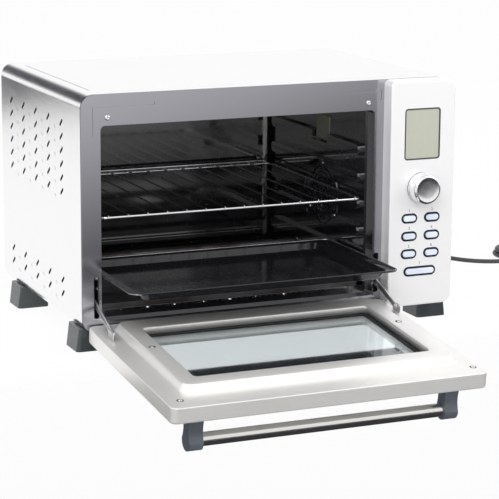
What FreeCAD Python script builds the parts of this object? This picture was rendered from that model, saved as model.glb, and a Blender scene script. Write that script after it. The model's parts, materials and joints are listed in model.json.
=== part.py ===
"""Toaster oven with a drop-down door, a slide-out tray and rack, and a control panel on the right.

Everything is modelled from the casing's lower left front corner: x to the right, y to the rear, z up.
save() shifts each piece so that the origin lies in the plane the feet stand on, under the casing's middle.
The door and what it carries are drawn shut, then swung down about the hinge to their place at rest.
"""

import FreeCAD, Part
import math
import os

V = FreeCAD.Vector

# ---- casing ----
CASE_W, CASE_H, CASE_D = 520.0, 306.0, 340.0
CORNER_R = 17.0            # rolled edges of the wrap and corners of the bezel
SHEET = 0.8                # casing and cavity sheet
BEZEL_T = 1.0              # front bezel sheet
BEZEL_LIP = 12.0           # bezel's lip that goes into the wrap
GROOVE = 2.0               # shadow gap between the bezel's face and the wrap
FIT = 0.2                  # clearance between sheets that slide into each other
WRAP_LIP = 26.0            # wrap's flanges turned in under the base, from each side
TOP_FIELD_IN, TOP_FIELD_RISE, TOP_FIELD_R = 25.0, 1.2, 12.0   # embossed field on the lid
FOOT_H = 25.0
GROOVE_HALF, GROOVE_WALL, GROOVE_DEEP = 2.6, 0.8, 1.2         # pressed groove, and metal left beside it
GROOVE_IN, GROOVE_IN_R = 12.0, 3.0         # groove from the bezel's edges, and from the panel
GROOVE_LEGS = {"left": (88.0, 42.0), "right": (56.0, 16.0)}   # its legs, across and down
BEZEL_SCREW_R, BEZEL_SCREW_H, BEZEL_SCREW_IN, BEZEL_SCREW_UP = 3.4, 1.6, 9.5, 10.0
PANEL_HOLE_IN = (8.0, 12.0, 24.0, 16.0)    # bezel's hole behind the panel, in from its four sides
REAR_SLOT_W, REAR_SLOT_H, REAR_SLOT_PITCH, REAR_SLOTS = 3.0, 22.0, 14.0, 25
REAR_SLOT_LEFT, REAR_SLOT_DOWN = 90.0, (60.0, 95.0)
BASE_SLOT_W, BASE_SLOT_L = 4.0, 30.0
BASE_SLOT_Y = {"controls": (90.0, 150.0, 210.0, 270.0), "cavity": (110.0, 230.0)}
BASE_SLOT_X = {"controls": (14.0, 12.0, 5), "cavity": (60.0, 40.0, 7)}     # first, pitch, count

# ---- front opening and cavity ----
STRIP_L, STRIP_R, STRIP_T, STRIP_B = 26.0, 13.5, 40.0, 14.0   # bezel left around the opening
OPEN_R = 6.0               # corner radius of the opening
RETURN_D = 10.0            # depth of the opening's collar
CAV_STEP = 8.5             # right wall stands in from the opening's edge
CAV_SILL = 13.0            # cavity floor above the opening's lower edge
CAV_BACK_GAP = 16.0        # air behind the cavity
CAV_R = 12.0               # rounded back corners
LEDGE_UP, LEDGE_H, LEDGE_OUT, LEDGE_IN = 10.0, 12.0, 8.0, 6.0  # pressed ledge low on the back
SILL_SLOTS, SILL_IN, SILL_SLOT_H = 36, 30.0, 1.5
GUIDE_PITCH, GUIDE_H, GUIDE_OUT, GUIDES = 37.0, 15.0, 7.0, 5
GUIDE_LOW = 35.0           # lowest guide's centre above the cavity floor
GUIDE_FRONT, GUIDE_BACK = 17.0, 24.0       # guide ends, from the bezel and from the cavity back

# ---- control panel ----
PANEL_W, PANEL_D, PANEL_T = 96.0, 22.0, 1.8
PANEL_R, PANEL_EDGE = 14.0, 2.5
LCD_W, LCD_H, LCD_R, LCD_TOP = 52.0, 68.0, 4.0, 38.0
KNOB_R, KNOB_OUT, KNOB_DOWN = 21.0, 20.0, 144.6
BUTTON_W, BUTTON_H, WIDE_W = 23.6, 13.3, 48.0
RING_T = 2.0
BUTTON_COLS = 34.0         # distance between the two button columns
BUTTON_ROWS = (185.6, 210.0, 234.2)        # rows down from the top
WIDE_DOWN = 258.6
BUTTON_GAP = 0.25
BUTTON_TRAVEL = 1.0
BUTTON_PROUD = 2.0
BUTTON_COLLAR_T, STEM_R, SWITCH_H, SWITCH_HALF = 1.5, 2.0, 3.5, 3.0
PANEL_LOW_R = 8.0          # lower corners of the panel
LCD_FLANGE, LCD_FLANGE_T, LCD_SUNK = 3.0, 1.2, 0.6
SHAFT_HOLE_R, KNOB_SHAFT_R, KNOB_FLUTES, FLUTE_R = 4.5, 3.0, 36, 1.1
ENCODER_HALF = 7.0
RELAY_W, RELAY_H, RELAY_T, RELAY_Z = 16.0, 20.0, 15.0, (90.0, 130.0, 170.0)
BOARD_T = 1.6
BOARD_Y = -3.0             # rear face of the circuit board

# ---- door, drawn shut ----
DOOR_IN_L, DOOR_IN_R = 5.0, 2.0            # door's sides in from the casing side and from the panel
DOOR_LOW, DOOR_TOP_GAP = 3.0, 5.0
DOOR_T, DOOR_R = 20.0, 9.0
DOOR_GAP = 2.0             # between the door's inner flange and the bezel
HINGE_Y, HINGE_Z = -6.0, 5.6
DOOR_OPEN = 95.3           # degrees from shut to open
FRAME_CLEAR = 7.0          # raised frame inside the opening, each side
FRAME_LOW = 13.0           # raised frame above the door's lower edge
FRAME_TOP_CLEAR = 5.0
FRAME_UP = 9.5
FRAME_SLOPE = 5.0
WINDOW_SIDE, WINDOW_LOW, WINDOW_TOP = 27.0, 36.0, 30.0   # raised frame's width around the window
GLASS_T, GLASS_LAP = 4.0, 5.0
GLASS_BACK = 2.0           # glass face behind the flange plane
GASKET_W, GASKET_T = 12.0, 2.0
BAR_R, BAR_OUT, BAR_DOWN = 8.5, 34.0, 29.0               # bar below the door's top edge
POST_W, POST_IN, POST_R, POST_DEPTH = 18.0, 30.0, 12.5, 24.0
BAR_SEAT = 12.0
POST_WAIST, POST_ROOT = 9.0, 2.0           # half height at the post's middle, and root's extra each side
PAN_T, PAN_EDGE = 1.0, 2.5                 # door's outer pan: sheet and rounded edge
FRAME_R, FRAME_TOP_R, WINDOW_R = 14.0, 11.0, 6.0
CLIP_W, CLIP_T, CLIP_IN = 16.0, 3.0, 40.0
FRAME_SCREW_R, FRAME_SCREW_UP, FRAME_SCREW_IN = 3.2, 105.0, 15.0
EDGE_SCREW_R, EDGE_SCREW_OUT, EDGE_SCREW_UP, SCREW_HEAD = 2.0, 9.0, 16.0, 1.0

# ---- door hinge and arms ----
PIN_R, BORE_GAP = 1.5, 0.05
LUG_T, LUG_R, LUG_IN = 3.0, 4.5, 24.0
NOTCH_GAP = 1.0
EAR_T = 3.0
ARM_L_X, ARM_R_X = 19.0, 8.0               # arm centre from the casing side, and from the panel
ARM_T, ARM_HALF, ARM_LONG = 2.0, 4.0, 100.0
ARM_UP, ARM_N = 53.0, 8.0                  # arm pivot from the hinge line, along and off the flange
ARM_PITCH = 19.7                           # arm's slope with the door open
ARM_PIN_R = 1.8
SLOT_W, SLOT_LOW, SLOT_HIGH = 7.0, 18.0, 72.0
ARM_PLAY, ARM_LUG_T, ARM_LUG_HALF, ARM_CAP = 0.3, 1.6, 9.0, 1.0
ARM_HOOK_R = 1.6
FOOT_PAD_X, FOOT_PAD_Z, FOOT_PAD_T = 8.0, 22.0, 0.5       # pads under the arms' lugs

# ---- tray and rack ----
TRAY_SIDE, TRAY_DEEP, TRAY_OUT = 3.0, 216.0, 116.0       # side clearance, length, pulled out by
TRAY_T, TRAY_WELL, TRAY_FLANGE, TRAY_SLOPE = 1.0, 11.0, 16.0, 6.0
TRAY_R, TRAY_ROLL, TRAY_ROLL_W = 14.0, 2.6, 2.0
WELL_R, WELL_LOW_R = 12.0, 9.0
TRAY_GUIDE, RACK_GUIDE = 0, 2              # guides that carry them, counted from the lowest
SEAT_GAP = 0.3
WIRE_R, RAIL_R = 1.1, 1.9
RACK_SIDE, RACK_FRONT, RACK_DEEP = 4.0, 10.5, 298.0
RACK_WIRES, RACK_R = 14, 10.0
WIRE_SINK = 0.5            # how far crossing wires are welded into each other
CRUMB_IN, CRUMB_LIP, CRUMB_FRONT, CRUMB_BACK, CRUMB_R = 5.0, 6.0, 4.0, 8.0, 4.0

# ---- heating and air ----
HEATER_R, HEATER_INSET = 4.0, 16.0
HEATER_Y = (132.0, 236.0)
HEATER_END_R, HEATER_END_L = 7.0, 12.0
FAN_Y, FAN_DOWN, FAN_HOLE_R = 138.0, 138.5, 44.0
GRILLE_R, GRILLE_PITCH, GRILLE_SLOT = 48.0, 8.0, 3.0
FAN_R, FAN_T, FAN_BLADES, FAN_GAP = 38.0, 10.0, 7, 3.5
SHROUD_R, SHROUD_D = 52.0, 18.0
GRILLE_RIM, GRILLE_BAR = 6.0, 1.6          # plain rim, and half of each bar across the slots
GRILLE_BAR_TURNS, GRILLE_STAGGER = (0, 60, 120), 30
HUB_R, FAN_DISC_IN, VANE_T = 7.0, 6.0, 1.0
SHAFT_R, SHAFT_IN_MOTOR, MOTOR_R, MOTOR_L = 3.0, 12.0, 17.0, 20.0
MOTOR_FRAME_HALF, MOTOR_FRAME_UP, MOTOR_FRAME_IN = 24.0, 8.0, 3.0
LAMP_W, LAMP_H, LAMP_DOWN = 40.0, 34.0, 43.0
LAMP_PLATE_T = 1.6
HOLDER_L, HOLDER_HALF, BULB_R, BULB_L = 30.0, 12.0, 8.0, 26.0
WALL_SCREW_R, WALL_SCREW_H = 2.4, 1.4
SCREW_TURNS = (90, 210, 330)               # screws round the grille
END_PLATE_Y, END_PLATE_Z = (-28.0, -14.0), (12.0, 22.0)   # screws by the rear rod, above the floor
SHIELD_GAP = 58.0          # heat shield from the cavity's right wall
SHIELD_FRONT, SHIELD_BACK, SHIELD_FOOT = 30.0, 12.0, 12.0
SHIELD_SLOT_W, SHIELD_SLOT_L = 5.0, 24.0
SHIELD_SLOT_Y, SHIELD_SLOT_Z = (90.0, 150.0, 210.0, 270.0), (60.0, 80.0, 220.0, 240.0)

# ---- feet, vents and cord ----
FOOT_X, FOOT_Y, FOOT_WRAP, FOOT_OUT, FOOT_FLARE = 40.0, 47.0, 5.0, 3.0, 4.0
FOOT_FRONT, FOOT_REAR = 3.0, 40.0
VENT_W, VENT_L, VENT_TILT = 4.0, 14.5, 40.0
TICK_W, TICK_L = 1.0, 6.0  # short cuts between the slots, leaning the other way
VENT_COLS, VENT_PITCH, VENT_BACK = 5, 54.0, 46.0
VENT_ROWS, VENT_STEP, VENT_TOP = 6, 18.0, 45.0
LOW_ROWS, LOW_TOP = 2, 252.0
GLAND_IN, GLAND_UP = 50.0, 62.0
CORD_R = 3.25
GLAND_L, GLAND_R, COLLAR_R, COLLAR_T = 28.0, 6.0, 9.0, 3.0
FOOT_SCREW_R, FOOT_SCREW_DEEP = 5.0, 6.0

# ---- places worked out from the sizes ----
FACE_Y = -PANEL_D                              # control panel's and shut door's outer face
PANEL_X0 = CASE_W - PANEL_W
OPEN_X0, OPEN_X1 = STRIP_L, PANEL_X0 - STRIP_R
OPEN_Z0, OPEN_Z1 = STRIP_B, CASE_H - STRIP_T
CAV_X0, CAV_X1 = OPEN_X0 - BEZEL_T, OPEN_X1 - CAV_STEP
CAV_Z0, CAV_Z1 = OPEN_Z0 + CAV_SILL, OPEN_Z1 + BEZEL_T
CAV_Y0, CAV_Y1 = RETURN_D, CASE_D - CAV_BACK_GAP
DOOR_X0, DOOR_X1 = DOOR_IN_L, PANEL_X0 - DOOR_IN_R
DOOR_Z0, DOOR_Z1 = DOOR_LOW, CASE_H - DOOR_TOP_GAP
FLANGE_Y = -DOOR_GAP                           # door's inner flange, towards the oven
DOOR_FACE = FLANGE_Y - DOOR_T
FRAME_X0, FRAME_X1 = OPEN_X0 + FRAME_CLEAR, OPEN_X1 - FRAME_CLEAR
FRAME_Z0, FRAME_Z1 = DOOR_Z0 + FRAME_LOW, OPEN_Z1 - FRAME_TOP_CLEAR
WIN_X0, WIN_X1 = FRAME_X0 + WINDOW_SIDE, FRAME_X1 - WINDOW_SIDE
WIN_Z0, WIN_Z1 = FRAME_Z0 + WINDOW_LOW, FRAME_Z1 - WINDOW_TOP
GLASS_Y = FLANGE_Y - GLASS_BACK                # glass face towards the oven
BAR_Y, BAR_Z = DOOR_FACE - BAR_OUT, DOOR_Z1 - BAR_DOWN
GUIDE_Z = [CAV_Z0 + GUIDE_LOW + GUIDE_PITCH * k for k in range(GUIDES)]
ARM_X = {"left": ARM_L_X, "right": PANEL_X0 - ARM_R_X}
ARM_Y, ARM_Z = FLANGE_Y + ARM_N, HINGE_Z + ARM_UP
PANEL_MID = PANEL_X0 + PANEL_W / 2 - 1.0       # the controls sit a little left of centre
FAN_Z = CAV_Z1 - FAN_DOWN
SHIELD_X = CAV_X1 + SHIELD_GAP
GLAND_X, GLAND_Z = CASE_W - GLAND_IN, GLAND_UP - FOOT_H
FLOOR_Z = -FOOT_H + CORD_R                     # centre of a cord that lies on the worktop


# ---- small builders ----
def box(x0, x1, y0, y1, z0, z1):
    return Part.makeBox(x1 - x0, y1 - y0, z1 - z0, V(x0, y0, z0))


def rod(start, direction, radius, length):
    return Part.makeCylinder(radius, length, V(*start), V(*direction))


def outline(u0, u1, v0, v1, radius, place):
    """Closed rounded rectangle. radius is one number or one for each corner, from (u0, v0) anticlockwise."""
    radii = radius if isinstance(radius, (tuple, list)) else (radius,) * 4
    corners = ((u0, v0, 1, 1), (u1, v0, -1, 1), (u1, v1, -1, -1), (u0, v1, 1, -1))
    ends, edges = [], []
    for k, ((u, v, su, sv), r) in enumerate(zip(corners, radii)):
        along_u, along_v = (u + su * r, v), (u, v + sv * r)
        first, last = (along_v, along_u) if k in (0, 2) else (along_u, along_v)
        middle = (u + su * r * (1 - math.sqrt(0.5)), v + sv * r * (1 - math.sqrt(0.5)))
        ends.append((first, middle, last, r))
    for k, (first, middle, last, r) in enumerate(ends):
        if r > 0:
            edges.append(Part.Arc(V(*place(*first)), V(*place(*middle)), V(*place(*last))).toShape())
        following = ends[(k + 1) % 4][0]
        if math.dist(last, following) > 1e-6:
            edges.append(Part.makeLine(V(*place(*last)), V(*place(*following))))
    return Part.Wire(edges)


def prism(axis, u0, u1, v0, v1, a0, a1, radius=0.0):
    """Rounded rectangle pulled along an axis. (u, v) are the other two axes in x, y, z order."""
    at = {"x": 0, "y": 1, "z": 2}[axis]

    def place(u, v):
        return (*(u, v)[:at], a0, *(u, v)[at:])

    pull = [0, 0, 0]
    pull[at] = a1 - a0
    return Part.Face(outline(u0, u1, v0, v1, radius, place)).extrude(V(*pull))


def stadium(axis, u, v, width, height, a0, a1):
    """Slot shape with fully round ends, centred on (u, v)."""
    half_w, half_h = width / 2, height / 2
    return prism(axis, u - half_w, u + half_w, v - half_h, v + half_h, a0, a1, min(half_w, half_h) * 0.999)


def cut(shape, *tools):
    return shape.cut(list(tools)) if tools else shape


def fuse(*shapes):
    return shapes[0].fuse(list(shapes[1:])).removeSplitter() if len(shapes) > 1 else shapes[0]


def group(shapes):
    return Part.makeCompound(shapes)


def save(name, shape):
    """Write one piece, moved to the frame whose origin lies between the feet on the worktop."""
    moved = shape.copy()
    moved.translate(V(-CASE_W / 2, -CASE_D / 2, FOOT_H))
    moved.exportStep(f"parts/{name}.step")


def opened(shape):
    """Swing a piece that is drawn on the shut door down to the open door."""
    return shape.copy().rotate(V(0, HINGE_Y, HINGE_Z), V(1, 0, 0), DOOR_OPEN)


# ---- casing ----
def vent_slots(x0, x1):
    """Slanted slots in a side wall and, between the columns, short cuts that lean the other way."""
    slots = []
    for column in range(VENT_COLS):
        y = CASE_D - VENT_BACK - column * VENT_PITCH
        rows = [CASE_H - VENT_TOP - VENT_STEP * k for k in range(VENT_ROWS)]
        rows += [CASE_H - LOW_TOP - VENT_STEP * k for k in range(LOW_ROWS)]
        for z in rows:
            slot = stadium("x", y, z, VENT_L, VENT_W, x0, x1)
            slots.append(slot.rotate(V(x0, y, z), V(1, 0, 0), -VENT_TILT))
            if column < VENT_COLS - 1:
                other_y, other_z = y - VENT_PITCH / 2, z - VENT_STEP / 2
                slot = stadium("x", other_y, other_z, TICK_L, TICK_W, x0, x1)
                slots.append(slot.rotate(V(x0, other_y, other_z), V(1, 0, 0), VENT_TILT))
    return slots


def casing_wrap():
    """One sheet bent over both sides and the top, with flanges turned in under the base."""
    y0 = BEZEL_T + GROOVE
    outer = prism("y", 0, CASE_W, 0, CASE_H, y0, CASE_D, CORNER_R)
    inner = prism("y", SHEET, CASE_W - SHEET, SHEET, CASE_H - SHEET, y0, CASE_D, CORNER_R - SHEET)
    gap = box(WRAP_LIP, CASE_W - WRAP_LIP, y0, CASE_D, -1, SHEET + 1)
    field_in = TOP_FIELD_IN
    field = prism("z", field_in, CASE_W - field_in, y0 + field_in, CASE_D - field_in,
                  CASE_H - SHEET, CASE_H - SHEET + TOP_FIELD_RISE, TOP_FIELD_R)
    recess = prism("z", field_in + SHEET, CASE_W - field_in - SHEET, y0 + field_in + SHEET,
                   CASE_D - field_in - SHEET, CASE_H - SHEET - 1, CASE_H - 2 * SHEET + TOP_FIELD_RISE,
                   TOP_FIELD_R - SHEET)
    wrap = fuse(outer.cut(inner), field)
    return cut(wrap, gap, recess, group(vent_slots(-1, 1 + SHEET)),
               group(vent_slots(CASE_W - SHEET - 1, CASE_W + 1)))


def rear_panel():
    """Flat back, set into the wrap, with rows of air slots and the cord's hole."""
    edge = SHEET + FIT
    y0, y1 = CASE_D - 1 - SHEET, CASE_D - 1
    panel = prism("y", edge, CASE_W - edge, edge, CASE_H - edge, y0, y1, CORNER_R - edge)
    slots = [stadium("y", REAR_SLOT_LEFT + REAR_SLOT_PITCH * k, CASE_H - down, REAR_SLOT_W, REAR_SLOT_H,
                     y0 - 1, y1 + 1) for down in REAR_SLOT_DOWN for k in range(REAR_SLOTS)]
    hole = rod((GLAND_X, y0 - 1, GLAND_Z), (0, 1, 0), GLAND_R, SHEET + 2)
    notches = [box(0, WRAP_LIP + FIT, y0 - 1, y1 + 1, -1, SHEET + FIT),
               box(CASE_W - WRAP_LIP - FIT, CASE_W, y0 - 1, y1 + 1, -1, SHEET + FIT)]
    return cut(panel, group(slots), hole, *notches)


def base_plate():
    """Floor of the casing, resting on the wrap's flanges, with air slots in it."""
    y0, y1 = BEZEL_LIP + BEZEL_T + GROOVE + 1, CASE_D - 2 - SHEET
    plate = prism("z", CORNER_R, CASE_W - CORNER_R, y0, y1, SHEET, 2 * SHEET, 2)
    slots = []
    for part, start in (("controls", PANEL_X0), ("cavity", CAV_X0)):
        first, pitch, count = BASE_SLOT_X[part]
        slots += [stadium("z", start + first + pitch * k, y, BASE_SLOT_W, BASE_SLOT_L, 0, 3 * SHEET)
                  for y in BASE_SLOT_Y[part] for k in range(count)]
    return cut(plate, group(slots))


def corner_groove(side, trim, depth):
    """L-shaped pressed groove near an upper corner of the bezel, smaller all round by trim."""
    across, down = GROOVE_LEGS[side]
    width, z1 = 2 * GROOVE_HALF, CASE_H - GROOVE_IN
    x0 = GROOVE_IN if side == "left" else PANEL_X0 - GROOVE_IN_R - across
    leg_x0 = x0 if side == "left" else x0 + across - width
    radius = (GROOVE_HALF - trim) * 0.98
    bar = prism("y", x0 + trim, x0 + across - trim, z1 - width + trim, z1 - trim, -0.5, depth, radius)
    leg = prism("y", leg_x0 + trim, leg_x0 + width - trim, z1 - down + trim, z1 - trim, -0.5, depth, radius)
    return bar.fuse(leg)


def front_bezel():
    """Painted front frame with the door opening, a collar into the cavity and slots for the arms."""
    face = prism("y", 0, CASE_W, 0, CASE_H, 0, BEZEL_T, CORNER_R)
    lip_edge = SHEET + FIT + 0.6
    lip = prism("y", lip_edge, CASE_W - lip_edge, lip_edge, CASE_H - lip_edge, BEZEL_T,
                BEZEL_T + BEZEL_LIP, CORNER_R - lip_edge)
    inside = lip_edge + BEZEL_T
    lip = lip.cut(prism("y", inside, CASE_W - inside, inside, CASE_H - inside, BEZEL_T,
                        BEZEL_T + BEZEL_LIP, CORNER_R - inside))
    collar = prism("y", OPEN_X0 - BEZEL_T, OPEN_X1 + BEZEL_T, OPEN_Z0 - BEZEL_T, OPEN_Z1 + BEZEL_T,
                   0, RETURN_D, OPEN_R + BEZEL_T)
    front = box(0, CASE_W, 0, BEZEL_LIP, 0, CASE_H)
    bosses = [corner_groove(side, 0, BEZEL_T + GROOVE_DEEP).common(front) for side in GROOVE_LEGS]
    grooves = [corner_groove(side, GROOVE_WALL, GROOVE_DEEP) for side in GROOVE_LEGS]
    opening = prism("y", OPEN_X0, OPEN_X1, OPEN_Z0, OPEN_Z1, -1, RETURN_D + 1, OPEN_R)
    left, right, low, high = PANEL_HOLE_IN
    window = prism("y", PANEL_X0 + left, CASE_W - right, low, CASE_H - high, -1, BEZEL_T + 1, OPEN_R)
    slots = [prism("y", x - SLOT_W / 2, x + SLOT_W / 2, SLOT_LOW, SLOT_HIGH, -1, BEZEL_T + 2, 2)
             for x in ARM_X.values()]
    return cut(fuse(face, lip, collar, *bosses), opening, window, *grooves, *slots)


def bezel_screws():
    """Screws with sloping heads that hold the bezel and the cavity."""
    spots = ((OPEN_X0 + BEZEL_SCREW_IN, OPEN_Z1 + BEZEL_SCREW_UP),
             (OPEN_X1 - BEZEL_SCREW_IN, OPEN_Z1 + BEZEL_SCREW_UP))
    slope = BEZEL_SCREW_H / 2
    screws = []
    for x, z in spots:
        rim = rod((x, -slope, z), (0, 1, 0), BEZEL_SCREW_R, slope)
        top = Part.makeCone(BEZEL_SCREW_R - slope, BEZEL_SCREW_R, slope, V(x, -2 * slope, z), V(0, 1, 0))
        screws.append(fuse(rim, top))
    return group(screws)


# ---- cavity ----
def guides(x_wall, inward):
    """Pressed ribs that carry the rack and the tray, on one side wall."""
    x0, x1 = sorted((x_wall, x_wall + inward * GUIDE_OUT))
    y0, y1 = CAV_Y0 - RETURN_D + GUIDE_FRONT, CAV_Y1 - GUIDE_BACK
    return [prism("x", y0, y1, z - GUIDE_H / 2, z + GUIDE_H / 2, x0, x1, 6) for z in GUIDE_Z]


def heater_holes(x0, x1):
    return [rod((x0, y, z), (1, 0, 0), HEATER_R + FIT, x1 - x0)
            for y in HEATER_Y for z in (CAV_Z0 + HEATER_INSET, CAV_Z1 - HEATER_INSET)]


def cavity_left_wall():
    wall = box(CAV_X0 - SHEET, CAV_X0, CAV_Y0, CAV_Y1 - CAV_R, CAV_Z0, CAV_Z1)
    return cut(fuse(wall, *guides(CAV_X0, 1)), *heater_holes(CAV_X0 - 2, CAV_X0 + 2))


def cavity_right_wall():
    """Right wall with the fan's opening and the lamp's window, and a front flange to the collar."""
    wall = box(CAV_X1, CAV_X1 + SHEET, CAV_Y0, CAV_Y1 - CAV_R, CAV_Z0, CAV_Z1)
    flange = box(CAV_X1, OPEN_X1 + BEZEL_T, CAV_Y0, CAV_Y0 + SHEET, CAV_Z0, CAV_Z1)
    fan = rod((CAV_X1 - 10, FAN_Y, FAN_Z), (1, 0, 0), FAN_HOLE_R, 20)
    lamp = box(CAV_X1 - 1, CAV_X1 + 2, FAN_Y - LAMP_W / 2 + 6, FAN_Y + LAMP_W / 2 - 2,
               CAV_Z1 - LAMP_DOWN - LAMP_H / 2 + 4, CAV_Z1 - LAMP_DOWN + LAMP_H / 2 - 4)
    grille_space = rod((CAV_X1 - 20, FAN_Y, FAN_Z), (1, 0, 0), GRILLE_R + 3, 40)
    ribs = [g.cut(grille_space) for g in guides(CAV_X1, -1)]
    lamp_space = box(CAV_X1 - 20, CAV_X1 - 0.001, FAN_Y - LAMP_W / 2 - 4, FAN_Y + LAMP_W / 2 + 4,
                     CAV_Z1 - LAMP_DOWN - LAMP_H / 2 - 2, CAV_Z1 - LAMP_DOWN + LAMP_H / 2 + 2)
    ribs = [r.cut(lamp_space) for r in ribs]
    return cut(fuse(wall, flange, *ribs), fan, lamp, *heater_holes(CAV_X1 - 2, CAV_X1 + 2))


def cavity_roof():
    return box(CAV_X0 - SHEET, CAV_X1 + SHEET, CAV_Y0, CAV_Y1 + SHEET, CAV_Z1, CAV_Z1 + SHEET)


def cavity_floor():
    """Floor sheet with the sill face turned down at the front, and a row of small slots under the tray."""
    floor = box(CAV_X0 - SHEET, CAV_X1 + SHEET, CAV_Y0, CAV_Y1 + SHEET, CAV_Z0 - SHEET, CAV_Z0)
    sill = box(OPEN_X0 - BEZEL_T, OPEN_X1 + BEZEL_T, CAV_Y0, CAV_Y0 + SHEET, OPEN_Z0 - BEZEL_T, CAV_Z0)
    step = (CAV_X1 - CAV_X0 - 2 * SILL_IN) / SILL_SLOTS
    z1 = CAV_Z0 - 2 * SHEET
    slots = []
    for k in range(SILL_SLOTS):
        x = CAV_X0 + SILL_IN + step * k
        slots.append(box(x, x + 0.6 * step, CAV_Y0 - 1, CAV_Y0 + 2, z1 - SILL_SLOT_H, z1))
    return cut(fuse(floor, sill), group(slots))


def cavity_back():
    """Back sheet, curved forward at both sides to meet the walls, with a pressed ledge low down."""
    sheet_out = prism("z", CAV_X0 - SHEET, CAV_X1 + SHEET, CAV_Y1 - CAV_R - 10, CAV_Y1 + SHEET,
                      CAV_Z0, CAV_Z1, (0, 0, CAV_R + SHEET, CAV_R + SHEET))
    hollow = prism("z", CAV_X0, CAV_X1, CAV_Y1 - CAV_R - 10, CAV_Y1, CAV_Z0, CAV_Z1, (0, 0, CAV_R, CAV_R))
    front = box(CAV_X0 - 2, CAV_X1 + 2, CAV_Y1 - CAV_R - 11, CAV_Y1 - CAV_R, CAV_Z0 - 1, CAV_Z1 + 1)
    ends = CAV_R + LEDGE_IN
    ledge = prism("x", CAV_Y1 - LEDGE_OUT, CAV_Y1, CAV_Z0 + LEDGE_UP, CAV_Z0 + LEDGE_UP + LEDGE_H,
                  CAV_X0 + ends, CAV_X1 - ends, (5, 0, 0, 3))
    return fuse(sheet_out.cut(hollow).cut(front), ledge)


def heating_rods():
    """Two heating rods near the roof and two near the floor, through both side walls."""
    x0, x1 = CAV_X0 - HEATER_END_L, CAV_X1 + HEATER_END_L
    return group([rod((x0, y, z), (1, 0, 0), HEATER_R, x1 - x0)
                  for y in HEATER_Y for z in (CAV_Z0 + HEATER_INSET, CAV_Z1 - HEATER_INSET)])


def heater_ends():
    """Ceramic end caps of the rods, outside the walls."""
    caps = []
    for z in (CAV_Z0 + HEATER_INSET, CAV_Z1 - HEATER_INSET):
        for y in HEATER_Y:
            for x in (CAV_X0 - SHEET - HEATER_END_L + 1, CAV_X1 + SHEET):
                cap = rod((x, y, z), (1, 0, 0), HEATER_END_R, HEATER_END_L - 1)
                caps.append(cap.cut(rod((x - 1, y, z), (1, 0, 0), HEATER_R, HEATER_END_L + 2)))
    return group(caps)


def fan_grille():
    """Disc over the fan's opening, with rings of curved slots."""
    disc = rod((CAV_X1 - SHEET, FAN_Y, FAN_Z), (1, 0, 0), GRILLE_R, SHEET)
    slots = []
    rings = int((GRILLE_R - GRILLE_RIM) / GRILLE_PITCH)
    for ring in range(1, rings + 1):
        r = ring * GRILLE_PITCH
        band = rod((CAV_X1 - 3, FAN_Y, FAN_Z), (1, 0, 0), r + GRILLE_SLOT / 2, 6)
        band = band.cut(rod((CAV_X1 - 3, FAN_Y, FAN_Z), (1, 0, 0), r - GRILLE_SLOT / 2, 6))
        bars = []
        for turn in GRILLE_BAR_TURNS:
            bar = box(CAV_X1 - 4, CAV_X1 + 4, FAN_Y - GRILLE_R, FAN_Y + GRILLE_R,
                      FAN_Z - GRILLE_BAR, FAN_Z + GRILLE_BAR)
            bars.append(bar.rotate(V(0, FAN_Y, FAN_Z), V(1, 0, 0), turn + GRILLE_STAGGER * (ring % 2)))
        slots.append(band.cut(bars))
    return cut(disc, *slots)


def fan_blade():
    """Stirring fan: a hub, a thin disc and radial vanes."""
    x0 = CAV_X1 + FAN_GAP
    hub = rod((x0, FAN_Y, FAN_Z), (1, 0, 0), HUB_R, FAN_T)
    disc = rod((x0 + FAN_T - VANE_T, FAN_Y, FAN_Z), (1, 0, 0), FAN_R - FAN_DISC_IN, VANE_T)
    vanes = []
    for k in range(FAN_BLADES):
        vane = box(x0, x0 + FAN_T, FAN_Y - VANE_T / 2, FAN_Y + VANE_T / 2, FAN_Z + HUB_R - 2, FAN_Z + FAN_R)
        vanes.append(vane.rotate(V(0, FAN_Y, FAN_Z), V(1, 0, 0), 360 / FAN_BLADES * k))
    shaft_hole = rod((x0 - 1, FAN_Y, FAN_Z), (1, 0, 0), SHAFT_R, FAN_T + 2)
    return fuse(hub, disc, *vanes).cut(shaft_hole)


def fan_shaft():
    x0 = CAV_X1 + FAN_GAP
    return rod((x0, FAN_Y, FAN_Z), (1, 0, 0), SHAFT_R, SHROUD_D - FAN_GAP + SHAFT_IN_MOTOR)


def fan_shroud():
    """Round can behind the right wall that the fan turns in."""
    x0 = CAV_X1 + SHEET
    can = rod((x0, FAN_Y, FAN_Z), (1, 0, 0), SHROUD_R, SHROUD_D)
    hollow = rod((x0 - 1, FAN_Y, FAN_Z), (1, 0, 0), SHROUD_R - SHEET, SHROUD_D + 1 - SHEET)
    return can.cut(hollow).cut(rod((x0, FAN_Y, FAN_Z), (1, 0, 0), SHAFT_R + 1, SHROUD_D + 5))


def fan_motor():
    x0 = CAV_X1 + SHEET + SHROUD_D
    motor = rod((x0, FAN_Y, FAN_Z), (1, 0, 0), MOTOR_R, MOTOR_L)
    frame = box(x0 + MOTOR_FRAME_IN, x0 + MOTOR_L - MOTOR_FRAME_IN,
                FAN_Y - MOTOR_FRAME_HALF, FAN_Y + MOTOR_FRAME_HALF,
                FAN_Z - MOTOR_FRAME_UP, FAN_Z + MOTOR_FRAME_UP)
    bore = rod((x0 - 1, FAN_Y, FAN_Z), (1, 0, 0), SHAFT_R + BORE_GAP, SHAFT_IN_MOTOR + 3)
    return fuse(motor, frame).cut(bore)


def lamp_cover():
    """Pale heat-proof plate over the lamp's window in the right wall."""
    z = CAV_Z1 - LAMP_DOWN
    return prism("x", FAN_Y - LAMP_W / 2, FAN_Y + LAMP_W / 2, z - LAMP_H / 2, z + LAMP_H / 2,
                 CAV_X1 - LAMP_PLATE_T, CAV_X1, 2)


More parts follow.
